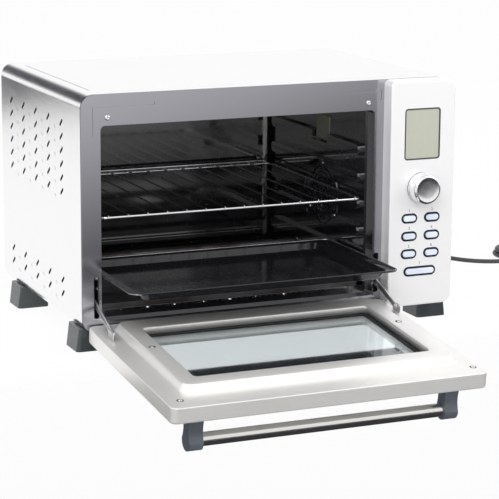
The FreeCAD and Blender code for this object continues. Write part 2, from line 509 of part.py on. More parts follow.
def lamp():
    """Bulb and holder behind the cover."""
    z = CAV_Z1 - LAMP_DOWN
    holder = box(CAV_X1 + SHEET, CAV_X1 + HOLDER_L, FAN_Y + HOLDER_HALF, FAN_Y + HOLDER_HALF + LAMP_W / 2,
                 z - HOLDER_HALF, z + HOLDER_HALF)
    bulb = rod((CAV_X1 + HOLDER_L / 2, FAN_Y + HOLDER_HALF - BULB_L, z), (0, 1, 0), BULB_R, BULB_L)
    return fuse(holder, bulb)


def wall_screws():
    """Screw heads on the right wall, round the grille and at the lower rod's end plate."""
    spots = [(FAN_Y + (GRILLE_R - 3) * math.cos(math.radians(a)),
              FAN_Z + (GRILLE_R - 3) * math.sin(math.radians(a))) for a in SCREW_TURNS]
    plate = [(HEATER_Y[1] + y, CAV_Z0 + z) for y in END_PLATE_Y for z in END_PLATE_Z]
    heads = [rod((CAV_X1 - SHEET - WALL_SCREW_H, y, z), (1, 0, 0), WALL_SCREW_R, WALL_SCREW_H)
             for y, z in spots]
    heads += [rod((CAV_X1 - WALL_SCREW_H, y, z), (1, 0, 0), WALL_SCREW_R, WALL_SCREW_H) for y, z in plate]
    return group(heads)


def heat_shield():
    """Upright sheet between the cavity side and the controls."""
    y0, y1 = SHIELD_FRONT, CASE_D - SHIELD_BACK
    sheet = box(SHIELD_X, SHIELD_X + SHEET, y0, y1, 2 * SHEET, CASE_H - SHIELD_BACK + 2)
    foot = box(SHIELD_X, SHIELD_X + SHIELD_FOOT, y0, y1, 2 * SHEET, 3 * SHEET)
    slots = [stadium("x", y, z, SHIELD_SLOT_L, SHIELD_SLOT_W, SHIELD_X - 1, SHIELD_X + 3)
             for y in SHIELD_SLOT_Y for z in SHIELD_SLOT_Z]
    return cut(fuse(sheet, foot), group(slots))


# ---- control panel ----
def button_places():
    """Centre and width of each button, top to bottom."""
    places = [(PANEL_MID + side * BUTTON_COLS / 2, CASE_H - down, BUTTON_W)
              for down in BUTTON_ROWS for side in (-1, 1)]
    return places + [(PANEL_MID, CASE_H - WIDE_DOWN, WIDE_W)]


def control_panel():
    """Pressed panel over the right of the bezel, open behind, with the window and the controls' holes."""
    shell = prism("y", PANEL_X0, CASE_W, 0, CASE_H, FACE_Y, 0,
                  (PANEL_LOW_R, PANEL_R, PANEL_R, PANEL_LOW_R))
    front_edges = [e for e in shell.Edges if all(abs(v.Point.y - FACE_Y) < 1e-6 for v in e.Vertexes)]
    shell = shell.makeFillet(PANEL_EDGE, front_edges)
    t = PANEL_T
    low_r, high_r = PANEL_LOW_R - t, PANEL_R - t
    inside = prism("y", PANEL_X0 + t, CASE_W - t, t, CASE_H - t, FACE_Y + t, 0.5,
                   (low_r, high_r, high_r, low_r))
    lcd_z = CASE_H - LCD_TOP
    window = prism("y", PANEL_MID - LCD_W / 2, PANEL_MID + LCD_W / 2, lcd_z - LCD_H, lcd_z,
                   FACE_Y - 1, FACE_Y + t + 1, LCD_R)
    knob_hole = rod((PANEL_MID, FACE_Y - 1, CASE_H - KNOB_DOWN), (0, 1, 0), SHAFT_HOLE_R, t + 2)
    holes = [stadium("y", x, z, w, BUTTON_H, FACE_Y - 1, FACE_Y + t + 1) for x, z, w in button_places()]
    return fuse(cut(shell.cut(inside), window, knob_hole, *holes), *board_posts())


def button_rings():
    """Dark liners round the buttons."""
    rings = []
    for x, z, w in button_places():
        ring = stadium("y", x, z, w, BUTTON_H, FACE_Y - 0.6, FACE_Y + PANEL_T)
        rings.append(ring.cut(stadium("y", x, z, w - 2 * RING_T, BUTTON_H - 2 * RING_T, FACE_Y - 2, 0)))
    return group(rings)


def button(x, z, w):
    """Cap with a collar behind the liner and a stem to its switch."""
    inner_w, inner_h = w - 2 * RING_T - 2 * BUTTON_GAP, BUTTON_H - 2 * RING_T - 2 * BUTTON_GAP
    back = FACE_Y + PANEL_T + BUTTON_GAP
    cap = stadium("y", x, z, inner_w, inner_h, FACE_Y - BUTTON_PROUD, back + BUTTON_COLLAR_T)
    collar = stadium("y", x, z, w - RING_T, BUTTON_H - RING_T, back, back + BUTTON_COLLAR_T)
    stem = rod((x, back, z), (0, 1, 0), STEM_R, switch_top() - BUTTON_TRAVEL - FIT - back)
    return fuse(cap, collar, stem)


def switch_top():
    return BOARD_Y - BOARD_T - SWITCH_H


def display_window():
    """Clear window of the display, set into the panel from behind."""
    z = CASE_H - LCD_TOP
    face = FACE_Y + LCD_SUNK
    pane = prism("y", PANEL_MID - LCD_W / 2 + FIT, PANEL_MID + LCD_W / 2 - FIT, z - LCD_H + FIT, z - FIT,
                 face, FACE_Y + PANEL_T, LCD_R - FIT)
    out = LCD_FLANGE
    flange = prism("y", PANEL_MID - LCD_W / 2 - out, PANEL_MID + LCD_W / 2 + out, z - LCD_H - out, z + out,
                   FACE_Y + PANEL_T, FACE_Y + PANEL_T + LCD_FLANGE_T, LCD_R)
    return fuse(pane, flange)


def display_module():
    z = CASE_H - LCD_TOP
    return prism("y", PANEL_MID - LCD_W / 2 - 2, PANEL_MID + LCD_W / 2 + 2, z - LCD_H - 2, z + 2,
                 FACE_Y + PANEL_T + LCD_FLANGE_T, BOARD_Y - BOARD_T, 1)


def control_board():
    """Circuit board behind the panel, with the switches under the buttons."""
    board = prism("y", PANEL_X0 + 8, CASE_W - 10, 30, CASE_H - 22, BOARD_Y - BOARD_T, BOARD_Y, 3)
    half = SWITCH_HALF
    switches = [box(x - half, x + half, switch_top(), BOARD_Y - BOARD_T, z - half, z + half)
                for x, z, _ in button_places()]
    relay_x = PANEL_MID - RELAY_W / 2 - BUTTON_COLS / 2
    relays = [box(relay_x, relay_x + RELAY_W, BOARD_Y, BOARD_Y + RELAY_T, z, z + RELAY_H) for z in RELAY_Z]
    return fuse(board, *switches, *relays)


def board_posts():
    """Posts behind the panel's face that carry the circuit board."""
    spots = [(x, z) for x in (PANEL_X0 + 13, CASE_W - 15) for z in (36, CASE_H - 28)]
    return [rod((x, FACE_Y + PANEL_T - 0.5, z), (0, 1, 0), 3, BOARD_Y - BOARD_T - FACE_Y - PANEL_T + 0.5)
            for x, z in spots]


def encoder():
    """Rotary switch on the board. Its shaft carries the knob."""
    z = CASE_H - KNOB_DOWN
    half, back = ENCODER_HALF, BOARD_Y - BOARD_T
    body = box(PANEL_MID - half, PANEL_MID + half, back - half, back, z - half, z + half)
    bore = rod((PANEL_MID, back - half - 1, z), (0, 1, 0), KNOB_SHAFT_R + BORE_GAP, half - 1)
    return body.cut(bore)


def knob():
    """Knob with a narrow skirt, a rounded rim and a ribbed side, on its own shaft."""
    z = CASE_H - KNOB_DOWN
    tip = FACE_Y - KNOB_OUT
    base = FACE_Y - 1.0
    profile = [(0, tip + 1.2), (KNOB_R - 5, tip), (KNOB_R - 3.2, tip), (KNOB_R - 1.4, tip + 2.2),
               (KNOB_R - 0.6, base - 3), (KNOB_R, base - 3), (KNOB_R, base), (0, base)]
    points = [V(PANEL_MID + r, y, z) for r, y in profile]
    face = Part.Face(Part.makePolygon(points + points[:1]))
    body = face.revolve(V(PANEL_MID, 0, z), V(0, 1, 0), 360)
    flutes = []
    for k in range(KNOB_FLUTES):
        a = math.tau * k / KNOB_FLUTES
        x, up = (KNOB_R + FIT) * math.cos(a), (KNOB_R + FIT) * math.sin(a)
        flutes.append(rod((PANEL_MID + x, tip - 1, z + up), (0, 1, 0), FLUTE_R, KNOB_OUT - 4))
    shaft = rod((PANEL_MID, base, z), (0, 1, 0), KNOB_SHAFT_R, BOARD_Y - BOARD_T - 3 - base)
    return fuse(body.cut(flutes), shaft)


# ---- door ----
def hinge_xs():
    """Centre of the hinge lug at each side of the door."""
    return {"left": DOOR_X0 + LUG_IN, "right": DOOR_X1 - LUG_IN}


def hinge_notches():
    """Room in the door's hinge edge for the fixed lugs, from shut to open."""
    reach = LUG_R + NOTCH_GAP
    return [box(x - LUG_T / 2 - NOTCH_GAP, x + LUG_T / 2 + NOTCH_GAP, HINGE_Y - reach, 1,
                DOOR_Z0 - 1, HINGE_Z + reach) for x in hinge_xs().values()]


def door_shell():
    """Outer pan of the door with folded sides and the window's hole."""
    pan = prism("y", DOOR_X0, DOOR_X1, DOOR_Z0, DOOR_Z1, DOOR_FACE, FLANGE_Y - SHEET, DOOR_R)
    face_edges = [e for e in pan.Edges if all(abs(v.Point.y - DOOR_FACE) < 1e-6 for v in e.Vertexes)]
    pan = pan.makeFillet(PAN_EDGE, face_edges)
    s = PAN_T
    hollow = prism("y", DOOR_X0 + s, DOOR_X1 - s, DOOR_Z0 + s, DOOR_Z1 - s, DOOR_FACE + s, FLANGE_Y + 1,
                   DOOR_R - s)
    glass_back = GLASS_Y - GLASS_T
    collar = prism("y", WIN_X0 - s, WIN_X1 + s, WIN_Z0 - s, WIN_Z1 + s, DOOR_FACE + s / 2, glass_back,
                   WINDOW_R + s)
    window = prism("y", WIN_X0, WIN_X1, WIN_Z0, WIN_Z1, DOOR_FACE - 1, glass_back + 1, WINDOW_R)
    return cut(fuse(pan.cut(hollow), collar), window, *hinge_notches())


def raised(grow, depth_shift):
    """Block of the raised frame's outer shape, from the flange plane up, with sloping sides."""
    y0, y1 = FLANGE_Y - SHEET + depth_shift, FLANGE_Y + FRAME_UP + depth_shift
    slope = FRAME_SLOPE
    low = outline(FRAME_X0 - grow, FRAME_X1 + grow, FRAME_Z0 - grow, FRAME_Z1 + grow, FRAME_R,
                  lambda u, v: (u, y0, v))
    top = outline(FRAME_X0 + slope - grow, FRAME_X1 - slope + grow, FRAME_Z0 + slope - grow,
                  FRAME_Z1 - slope + grow, FRAME_TOP_R, lambda u, v: (u, y1, v))
    return Part.makeLoft([low, top], True)


def door_liner():
    """Inner sheet of the door: a flat flange, the raised frame and its return down to the glass."""
    s = SHEET
    flange = prism("y", DOOR_X0, DOOR_X1, DOOR_Z0, DOOR_Z1, FLANGE_Y - s, FLANGE_Y, DOOR_R)
    hat = raised(0, 0)
    hollow = raised(-s, -s)
    y_top = FLANGE_Y + FRAME_UP
    y_seal = GLASS_Y + GASKET_T
    collar = prism("y", WIN_X0 - s, WIN_X1 + s, WIN_Z0 - s, WIN_Z1 + s, y_seal, y_top, WINDOW_R + s)
    window = prism("y", WIN_X0, WIN_X1, WIN_Z0, WIN_Z1, y_seal - 5, y_top + 1, WINDOW_R)
    pads = []
    for x in ARM_X.values():
        x0, x1 = max(x - FOOT_PAD_X, DOOR_X0 + 1), min(x + FOOT_PAD_X, DOOR_X1 - 1)
        pads.append(box(x0, x1, FLANGE_Y - 0.1, FLANGE_Y + FOOT_PAD_T, ARM_Z - FOOT_PAD_Z,
                        ARM_Z + FOOT_PAD_Z))
    ears = []
    for x in hinge_xs().values():
        for side in (-1, 1):
            near = x + side * (LUG_T / 2 + NOTCH_GAP)
            x0, x1 = sorted((near, near + side * EAR_T))
            ear = box(x0, x1, HINGE_Y - LUG_R, FLANGE_Y - 0.1, DOOR_Z0 + 1, HINGE_Z + LUG_R + 4)
            ears.append(ear.cut(rod((x0 - 1, HINGE_Y, HINGE_Z), (1, 0, 0), PIN_R, EAR_T + 2)))
    body = fuse(flange, hat).cut(hollow)
    return cut(fuse(body, collar, *pads, *ears), window, *hinge_notches())


def door_glass():
    lap = GLASS_LAP
    return prism("y", WIN_X0 - lap, WIN_X1 + lap, WIN_Z0 - lap, WIN_Z1 + lap, GLASS_Y - GLASS_T, GLASS_Y,
                 WINDOW_R + 2)


def glass_gasket():
    """Black seal between the liner's return and the glass, standing into the window a little."""
    lap, inside = GLASS_LAP, GASKET_W - GLASS_LAP
    ring = prism("y", WIN_X0 - lap, WIN_X1 + lap, WIN_Z0 - lap, WIN_Z1 + lap, GLASS_Y, GLASS_Y + GASKET_T,
                 WINDOW_R + 2)
    return ring.cut(prism("y", WIN_X0 + inside, WIN_X1 - inside, WIN_Z0 + inside, WIN_Z1 - inside,
                          GLASS_Y - 1, GLASS_Y + GASKET_T + 1, WINDOW_R - 1))


def glass_clamps():
    """Small clips that press the glass into its seat, between the shell's window collar and the glass."""
    y0, y1 = DOOR_FACE + PAN_T, GLASS_Y - GLASS_T
    clips = []
    for z in (WIN_Z0 + CLIP_IN, WIN_Z1 - CLIP_IN):
        for x in (WIN_X0 - 1.5 * CLIP_T, WIN_X1 + PAN_T + FIT):
            clips.append(box(x, x + CLIP_T, y0, y1, z - CLIP_W / 2, z + CLIP_W / 2))
    return group(clips)


def door_screws():
    """Screw heads on the raised frame and in the flange's corners."""
    top = FLANGE_Y + FRAME_UP
    spots = [(x, top, FRAME_Z0 + FRAME_SCREW_UP, FRAME_SCREW_R)
             for x in (FRAME_X0 + FRAME_SCREW_IN, FRAME_X1 - FRAME_SCREW_IN)]
    spots += [(x, FLANGE_Y, FRAME_Z1 + EDGE_SCREW_UP, EDGE_SCREW_R)
              for x in (FRAME_X0 - EDGE_SCREW_OUT, FRAME_X1 + EDGE_SCREW_OUT)]
    return group([rod((x, y, z), (0, 1, 0), r, SCREW_HEAD) for x, y, z, r in spots])


def handle_post(x0):
    """Curved post from the door's face to the bar, with a round eye at its end."""
    y_base = DOOR_FACE
    root = POST_DEPTH / 2 + POST_ROOT
    y_waist = (y_base + BAR_Y) / 2 + POST_ROOT + 1
    root_low, root_high = V(x0, y_base, BAR_Z - root), V(x0, y_base, BAR_Z + root)
    eye_low, eye_high = V(x0, BAR_Y, BAR_Z - POST_R), V(x0, BAR_Y, BAR_Z + POST_R)
    edges = [Part.Arc(root_low, V(x0, y_waist, BAR_Z - POST_WAIST), eye_low).toShape(),
             Part.Arc(eye_low, V(x0, BAR_Y - POST_R, BAR_Z), eye_high).toShape(),
             Part.Arc(eye_high, V(x0, y_waist, BAR_Z + POST_WAIST), root_high).toShape(),
             Part.makeLine(root_high, root_low)]
    post = Part.Face(Part.Wire(edges)).extrude(V(POST_W, 0, 0))
    inward = 1 if x0 < (DOOR_X0 + DOOR_X1) / 2 else -1
    seat_x = x0 + POST_W - BAR_SEAT if inward > 0 else x0 - 1
    return post.cut(rod((seat_x, BAR_Y, BAR_Z), (1, 0, 0), BAR_R, BAR_SEAT + 1))


def post_xs():
    return {"left": DOOR_X0 + POST_IN, "right": DOOR_X1 - POST_IN - POST_W}


def handle_bar():
    xs = post_xs()
    x0, x1 = xs["left"] + POST_W - BAR_SEAT, xs["right"] + BAR_SEAT
    return rod((x0, BAR_Y, BAR_Z), (1, 0, 0), BAR_R, x1 - x0)


def hinge_lug(side):
    """Fixed lug on the bezel's lower strip, with the pin's bore."""
    x = hinge_xs()[side]
    eye = rod((x - LUG_T / 2, HINGE_Y, HINGE_Z), (1, 0, 0), LUG_R, LUG_T)
    stem = box(x - LUG_T / 2, x + LUG_T / 2, HINGE_Y, 0, HINGE_Z - LUG_R, HINGE_Z + LUG_R)
    return fuse(eye, stem).cut(rod((x - 5, HINGE_Y, HINGE_Z), (1, 0, 0), PIN_R + BORE_GAP, 10))


def hinge_pins():
    """One pin in each pair of door ears."""
    long = LUG_T + 2 * NOTCH_GAP + 2 * EAR_T
    return group([rod((x - long / 2, HINGE_Y, HINGE_Z), (1, 0, 0), PIN_R, long)
                  for x in hinge_xs().values()])


def arm_side(side):
    """The side of each arm that its door lug stands on: away from the door's middle."""
    return -1 if side == "left" else 1


def arm_lug(side):
    """Lug on the door's flange that carries an arm, with the arm's pin."""
    x, away = ARM_X[side], arm_side(side)
    side_gap = ARM_T / 2 + ARM_PLAY
    near, far = x + away * side_gap, x - away * side_gap
    x0, x1 = sorted((near, near + away * ARM_LUG_T))
    plate = prism("x", FLANGE_Y + FOOT_PAD_T, ARM_Y + ARM_HALF, ARM_Z - ARM_LUG_HALF, ARM_Z + ARM_LUG_HALF,
                  x0, x1, (0, 3, 3, 0))
    pin = rod((min(near, far), ARM_Y, ARM_Z), (1, 0, 0), ARM_PIN_R, 2 * side_gap)
    cap_x = min(far, far - away * ARM_CAP)
    cap = rod((cap_x, ARM_Y, ARM_Z), (1, 0, 0), ARM_PIN_R + 1, ARM_CAP)
    return fuse(plate, pin, cap)


def hinge_arm(side):
    """Flat arm from the door through the bezel's slot, drawn with the door open."""
    x = ARM_X[side]
    pivot = Part.Vertex(V(x, ARM_Y, ARM_Z))
    pivot.rotate(V(0, HINGE_Y, HINGE_Z), V(1, 0, 0), DOOR_OPEN)
    y, z = pivot.Point.y, pivot.Point.z
    half = ARM_HALF
    bar = prism("x", y - half, y + ARM_LONG, z - half, z + half, x - ARM_T / 2, x + ARM_T / 2, half * 0.99)
    bar = bar.cut(rod((x - ARM_T, y, z), (1, 0, 0), ARM_PIN_R + BORE_GAP, 2 * ARM_T))
    hook = rod((x - ARM_T, y + ARM_LONG - half, z), (1, 0, 0), ARM_HOOK_R, 2 * ARM_T)
    return bar.cut(hook).rotate(V(x, y, z), V(1, 0, 0), ARM_PITCH)


# ---- what goes in the oven ----
def baking_tray():
    """Shallow pan with a wide flange and a small rolled edge."""
    x0, x1 = CAV_X0 + TRAY_SIDE, CAV_X1 - TRAY_SIDE
    y0 = CAV_Y0 - TRAY_OUT
    y1 = y0 + TRAY_DEEP
    z = GUIDE_Z[TRAY_GUIDE] + GUIDE_H / 2 + SEAT_GAP
    flange = prism("z", x0, x1, y0, y1, z, z + TRAY_T, TRAY_R)
    w = TRAY_ROLL_W
    roll = prism("z", x0, x1, y0, y1, z, z + TRAY_ROLL, TRAY_R).cut(
        prism("z", x0 + w, x1 - w, y0 + w, y1 - w, z, z + TRAY_ROLL + 1, TRAY_R - w))
    f, s = TRAY_FLANGE, TRAY_SLOPE

    def well(grow, z_low, z_high):
        high = outline(x0 + f - grow, x1 - f + grow, y0 + f / 2 - grow, y1 - f / 2 + grow, WELL_R,
                       lambda u, v: (u, v, z_high))
        low = outline(x0 + f + s - grow, x1 - f - s + grow, y0 + f / 2 + s - grow, y1 - f / 2 - s + grow,
                      WELL_LOW_R, lambda u, v: (u, v, z_low))
        return Part.makeLoft([low, high], True)

    pan = well(TRAY_T, z - TRAY_WELL, z + TRAY_T)
    hollow = well(0, z - TRAY_WELL + TRAY_T, z + TRAY_T)
    return fuse(flange, roll, pan).cut(hollow)


def wire_rack():
    """Frame of round wire with cross wires on it, a raised rail at the back and hooked front ends."""
    x0, x1 = CAV_X0 + RACK_SIDE, CAV_X1 - RACK_SIDE
    y0, y1 = RACK_FRONT, RACK_FRONT + RACK_DEEP
    z = GUIDE_Z[RACK_GUIDE] + GUIDE_H / 2 + SEAT_GAP + RAIL_R
    r = RACK_R
    corners = [(x0, y0, 1, 1), (x1, y0, -1, 1), (x1, y1, -1, -1), (x0, y1, 1, -1)]
    pieces = []
    for x, y, sx, sy in corners:
        torus = Part.makeTorus(r, RAIL_R, V(x + sx * r, y + sy * r, z))
        span_x, span_y = sorted((x - sx * RAIL_R, x + sx * r)), sorted((y - sy * RAIL_R, y + sy * r))
        quarter = box(*span_x, *span_y, z - 2 * RAIL_R, z + 2 * RAIL_R)
        pieces.append(torus.common(quarter))
    pieces += [rod((x0 + r, y, z), (1, 0, 0), RAIL_R, x1 - x0 - 2 * r) for y in (y0, y1)]
    pieces += [rod((x, y0 + r, z), (0, 1, 0), RAIL_R, y1 - y0 - 2 * r) for x in (x0, x1)]
    step = (x1 - x0 - 2 * r) / (RACK_WIRES - 1)
    for n in range(RACK_WIRES):
        x = x0 + r + step * n
        pieces.append(rod((x, y0 - 0.6, z + RAIL_R + WIRE_R - WIRE_SINK), (0, 1, 0), WIRE_R, y1 - y0 + 1.2))
    back_z = z + 2 * RAIL_R + 2 * WIRE_R - 2.4 * WIRE_SINK
    pieces.append(rod((x0 + r, y1 - 0.4, back_z), (1, 0, 0), RAIL_R * 0.8, x1 - x0 - 2 * r))
    return fuse(*pieces)


def crumb_tray():
    """Thin pan that lies on the cavity floor."""
    x0, x1 = CAV_X0 + CRUMB_IN, CAV_X1 - CRUMB_IN
    y0, y1 = CAV_Y0 + CRUMB_FRONT, CAV_Y1 - CAV_R - CRUMB_BACK
    z = CAV_Z0
    pan = prism("z", x0, x1, y0, y1, z, z + CRUMB_LIP, CRUMB_R)
    return pan.cut(prism("z", x0 + SHEET, x1 - SHEET, y0 + SHEET, y1 - SHEET, z + SHEET, z + CRUMB_LIP + 1,
                         CRUMB_R - SHEET))


# ---- feet and cord ----
def foot(front, left):
    """Corner foot that hugs the casing's rolled lower edge and flares towards the worktop."""
    y0 = FOOT_FRONT if front else CASE_D - FOOT_REAR - FOOT_Y
    x0 = -FOOT_OUT if left else CASE_W + FOOT_OUT - FOOT_X
    flare_l, flare_r = (FOOT_FLARE, 0) if left else (0, FOOT_FLARE)
    top = outline(x0, x0 + FOOT_X, y0, y0 + FOOT_Y, 4, lambda u, v: (u, v, FOOT_WRAP))
    low = outline(x0 - flare_l, x0 + FOOT_X + flare_r, y0, y0 + FOOT_Y, 5, lambda u, v: (u, v, -FOOT_H))
    block = Part.makeLoft([low, top], True)
    casing = prism("y", -FIT, CASE_W + FIT, -FIT, CASE_H, -1, CASE_D + 1, CORNER_R)
    block = block.cut(casing)
    screw = rod((x0 + FOOT_X / 2, y0 + FOOT_Y / 2, -FOOT_H), (0, 0, 1), FOOT_SCREW_R, FOOT_SCREW_DEEP)
    return block.cut(screw)


def strain_relief():
    """Tapered bush that the cord leaves the back through."""
    y = CASE_D - 1 - SHEET
    neck = rod((GLAND_X, y - GLAND_R, GLAND_Z), (0, 1, 0), GLAND_R - BORE_GAP, GLAND_R + SHEET)
    collar = rod((GLAND_X, y + SHEET, GLAND_Z), (0, 1, 0), COLLAR_R, COLLAR_T)
    taper = Part.makeCone(GLAND_R + 0.5, CORD_R + 1.2, GLAND_L - COLLAR_T,
                          V(GLAND_X, y + SHEET + COLLAR_T, GLAND_Z), V(0, 1, 0))
    return fuse(neck, collar, taper)


CORD_START = (GLAND_X, CASE_D - 1 + GLAND_L, GLAND_Z)
CORD_ROUTE = [CORD_START, (470, 397, GLAND_Z), (476, 431, 19), (494, 464, -7), (527, 490, FLOOR_Z),
              (572, 493, FLOOR_Z), (620, 474, FLOOR_Z), (657, 436, FLOOR_Z), (678, 386, FLOOR_Z),
              (689, 334, FLOOR_Z), (709, 288, FLOOR_Z), (742, 262, FLOOR_Z), (780, 255, FLOOR_Z),
              (815, 256, FLOOR_Z)]
COIL_R, COIL_TURNS_H = 36.0, 2
PLUG_W, PLUG_H, PLUG_L = 36.0, 22.0, 34.0
PLUG_FROM, SLEEVE_FROM, SLEEVE_R = 10.0, 12.0, 7.0        # body from the coil's side, sleeve from its middle
PIN_SPREAD, PLUG_PIN_R, PLUG_PIN_L = 9.5, 2.4, 19.0
COIL_WIDE = 2.0            # cord diameters across the ring of turns


def cord_path(route):
    """Straight runs joined by tangent arcs, each as large as its two runs allow."""
    points = [V(*p) for p in route]
    edges, at, radii = [], points[0], []
    for before, here, after in zip(points, points[1:], points[2:]):
        a, b = before - here, after - here
        run = min(a.Length, b.Length)
        turn = math.pi - a.getAngle(b)
        reach = 0.45 * run
        radius = reach / math.tan(turn / 2)
        radii.append(radius)
        a.normalize()
        b.normalize()
        start, end = here + a * reach, here + b * reach
        middle_dir = a + b
        middle_dir.normalize()
        centre_far = math.hypot(reach, radius)
        middle = here + middle_dir * (centre_far - radius)
        edges.append(Part.LineSegment(at, start).toShape())
        edges.append(Part.Arc(start, middle, end).toShape())
        at = end
    edges.append(Part.LineSegment(at, points[-1]).toShape())
    return Part.Wire(edges), radii


def coil_centre():
    """Centre of the ring of turns. The cord comes in along its outermost turn."""
    x, y, _ = CORD_ROUTE[-1]
    return x + CORD_R, y + COIL_R + CORD_R


def mains_cord():
    """Cord from the strain relief to the coil, as one round tube."""
    wire, radii = cord_path(CORD_ROUTE)
    first = wire.Edges[0]
    direction = first.tangentAt(first.FirstParameter)
    profile = Part.Wire([Part.makeCircle(CORD_R, V(*CORD_ROUTE[0]), direction)])
    tube = wire.makePipeShell([profile], True, False)
    expected = math.pi * CORD_R ** 2 * wire.Length
    print(f"cord run {wire.Length:.1f} mm, volume ratio {tube.Volume / expected:.4f}, radii",
          [round(r, 1) for r in radii])
    ring = coil_ring()
    return tube.cut(ring)


def coil_ring():
    """Outer shape of the turns that the rest of the cord is wound into."""
    x, y = coil_centre()
    low, high = -FOOT_H, -FOOT_H + 2 * CORD_R * COIL_TURNS_H
    wide = COIL_WIDE * CORD_R
    ring = rod((x, y, low), (0, 0, 1), COIL_R + wide, high - low)
    return ring.cut(rod((x, y, low - 1), (0, 0, 1), COIL_R - wide, high - low + 2))


def mains_plug():
    """Flat two-pin plug that lies beside the coil, its sleeve against the last turn."""
    x, y = coil_centre()
    x0, yc, zc = x + COIL_R, y - COIL_R, -FOOT_H + PLUG_H / 2
    body_x0, body_x1 = x0 + PLUG_FROM, x0 + PLUG_FROM + PLUG_L
    neck_x = x0 - 3
    body = stadium("x", yc, zc, PLUG_W, PLUG_H, body_x0, body_x1)
    neck = Part.makeCone(SLEEVE_R, PLUG_H / 2 - 0.5, body_x0 + 1 - neck_x, V(neck_x, yc, zc), V(1, 0, 0))
    sleeve = Part.makeCone(CORD_R + 1, SLEEVE_R, neck_x - x - SLEEVE_FROM, V(x + SLEEVE_FROM, yc, zc),
                           V(1, 0, 0))
    pins = [rod((body_x1, yc + dy, zc), (1, 0, 0), PLUG_PIN_R, PLUG_PIN_L)
            for dy in (-PIN_SPREAD, PIN_SPREAD)]
    return fuse(body, neck, sleeve, *pins).cut(coil_ring())


# ---- write every piece ----
os.makedirs("parts", exist_ok=True)

save("casing_wrap", casing_wrap())
save("rear_panel", rear_panel())
save("base_plate", base_plate())
save("front_bezel", front_bezel())
save("bezel_screws", bezel_screws())
save("cavity_left_wall", cavity_left_wall())
save("cavity_right_wall", cavity_right_wall())
save("cavity_roof", cavity_roof())
save("cavity_floor", cavity_floor())
save("cavity_back", cavity_back())
save("heating_rods", heating_rods())
save("heater_ends", heater_ends())
save("fan_grille", fan_grille())
save("fan_blade", fan_blade())
save("fan_shaft", fan_shaft())
save("fan_shroud", fan_shroud())
save("fan_motor", fan_motor())
save("lamp_cover", lamp_cover())
save("lamp", lamp())
save("wall_screws", wall_screws())
save("heat_shield", heat_shield())
save("control_panel", control_panel())
save("button_rings", button_rings())
for number, place in enumerate(button_places(), 1):
    save(f"button_{number}", button(*place))
save("display_window", display_window())
save("display_module", display_module())
save("control_board", control_board())
save("encoder", encoder())
save("knob", knob())
save("door_shell", opened(door_shell()))
save("door_liner", opened(door_liner()))
save("door_glass", opened(door_glass()))
save("glass_gasket", opened(glass_gasket()))
save("glass_clamps", opened(glass_clamps()))
save("door_screws", opened(door_screws()))
for side, post_x in post_xs().items():
    save(f"handle_post_{side}", opened(handle_post(post_x)))
save("handle_bar", opened(handle_bar()))
save("hinge_pins", opened(hinge_pins()))
save("hinge_lugs", group([hinge_lug(side) for side in ("left", "right")]))
save("arm_lugs", opened(group([arm_lug(side) for side in ("left", "right")])))
for side in ("left", "right"):
    save(f"hinge_arm_{side}", hinge_arm(side))
save("baking_tray", baking_tray())
save("wire_rack", wire_rack())
save("crumb_tray", crumb_tray())
for front in (True, False):
    for left in (True, False):
        save(f"foot_{'front' if front else 'rear'}_{'left' if left else 'right'}", foot(front, left))
save("strain_relief", strain_relief())
save("mains_cord", mains_cord())
save("cord_coil", coil_ring())
save("mains_plug", mains_plug())
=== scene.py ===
"""Looks of a toaster oven: finishes, sheet-metal detail, wires, cord and studio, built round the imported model.

Lengths are metres in the model's own frame: x to the right, y to the rear, z up from the feet's soles.
What the door carries is drawn shut and then swung down to the place where the door rests open.
"""

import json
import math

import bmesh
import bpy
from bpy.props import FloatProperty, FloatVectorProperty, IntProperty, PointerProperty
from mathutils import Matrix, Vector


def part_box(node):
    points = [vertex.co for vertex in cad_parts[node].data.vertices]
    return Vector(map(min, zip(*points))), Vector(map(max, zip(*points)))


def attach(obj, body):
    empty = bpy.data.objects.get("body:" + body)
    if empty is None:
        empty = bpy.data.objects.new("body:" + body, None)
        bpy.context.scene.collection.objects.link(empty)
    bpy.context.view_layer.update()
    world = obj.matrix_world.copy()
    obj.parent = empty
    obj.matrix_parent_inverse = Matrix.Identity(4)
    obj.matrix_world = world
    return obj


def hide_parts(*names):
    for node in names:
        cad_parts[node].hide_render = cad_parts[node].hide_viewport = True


bl_info = {
    "name": "Toaster oven looks",
    "version": (1, 0, 0),
    "blender": (4, 5, 0),
    "location": "View3D > Sidebar > Oven",
    "description": "Builds the finishes and the fine detail of a toaster oven",
    "category": "Object",
}

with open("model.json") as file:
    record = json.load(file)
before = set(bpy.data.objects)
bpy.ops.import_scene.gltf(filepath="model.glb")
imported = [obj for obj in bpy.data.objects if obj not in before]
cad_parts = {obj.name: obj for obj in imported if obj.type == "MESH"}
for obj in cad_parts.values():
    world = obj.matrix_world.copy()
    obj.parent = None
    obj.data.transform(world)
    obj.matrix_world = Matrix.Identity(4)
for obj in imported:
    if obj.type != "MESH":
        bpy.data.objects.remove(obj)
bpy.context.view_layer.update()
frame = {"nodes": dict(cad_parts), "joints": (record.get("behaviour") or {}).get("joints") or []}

MM = 0.001
X, Y, Z = 0, 1, 2


# ---- sizes and colours that a user would change ----
def length(name, description, default):
    return FloatProperty(name=name, description=description, default=default, unit="LENGTH")


def colour(name, description, default):
    return FloatVectorProperty(name=name, description=description, default=default, subtype="COLOR",
                               min=0.0, max=1.0)


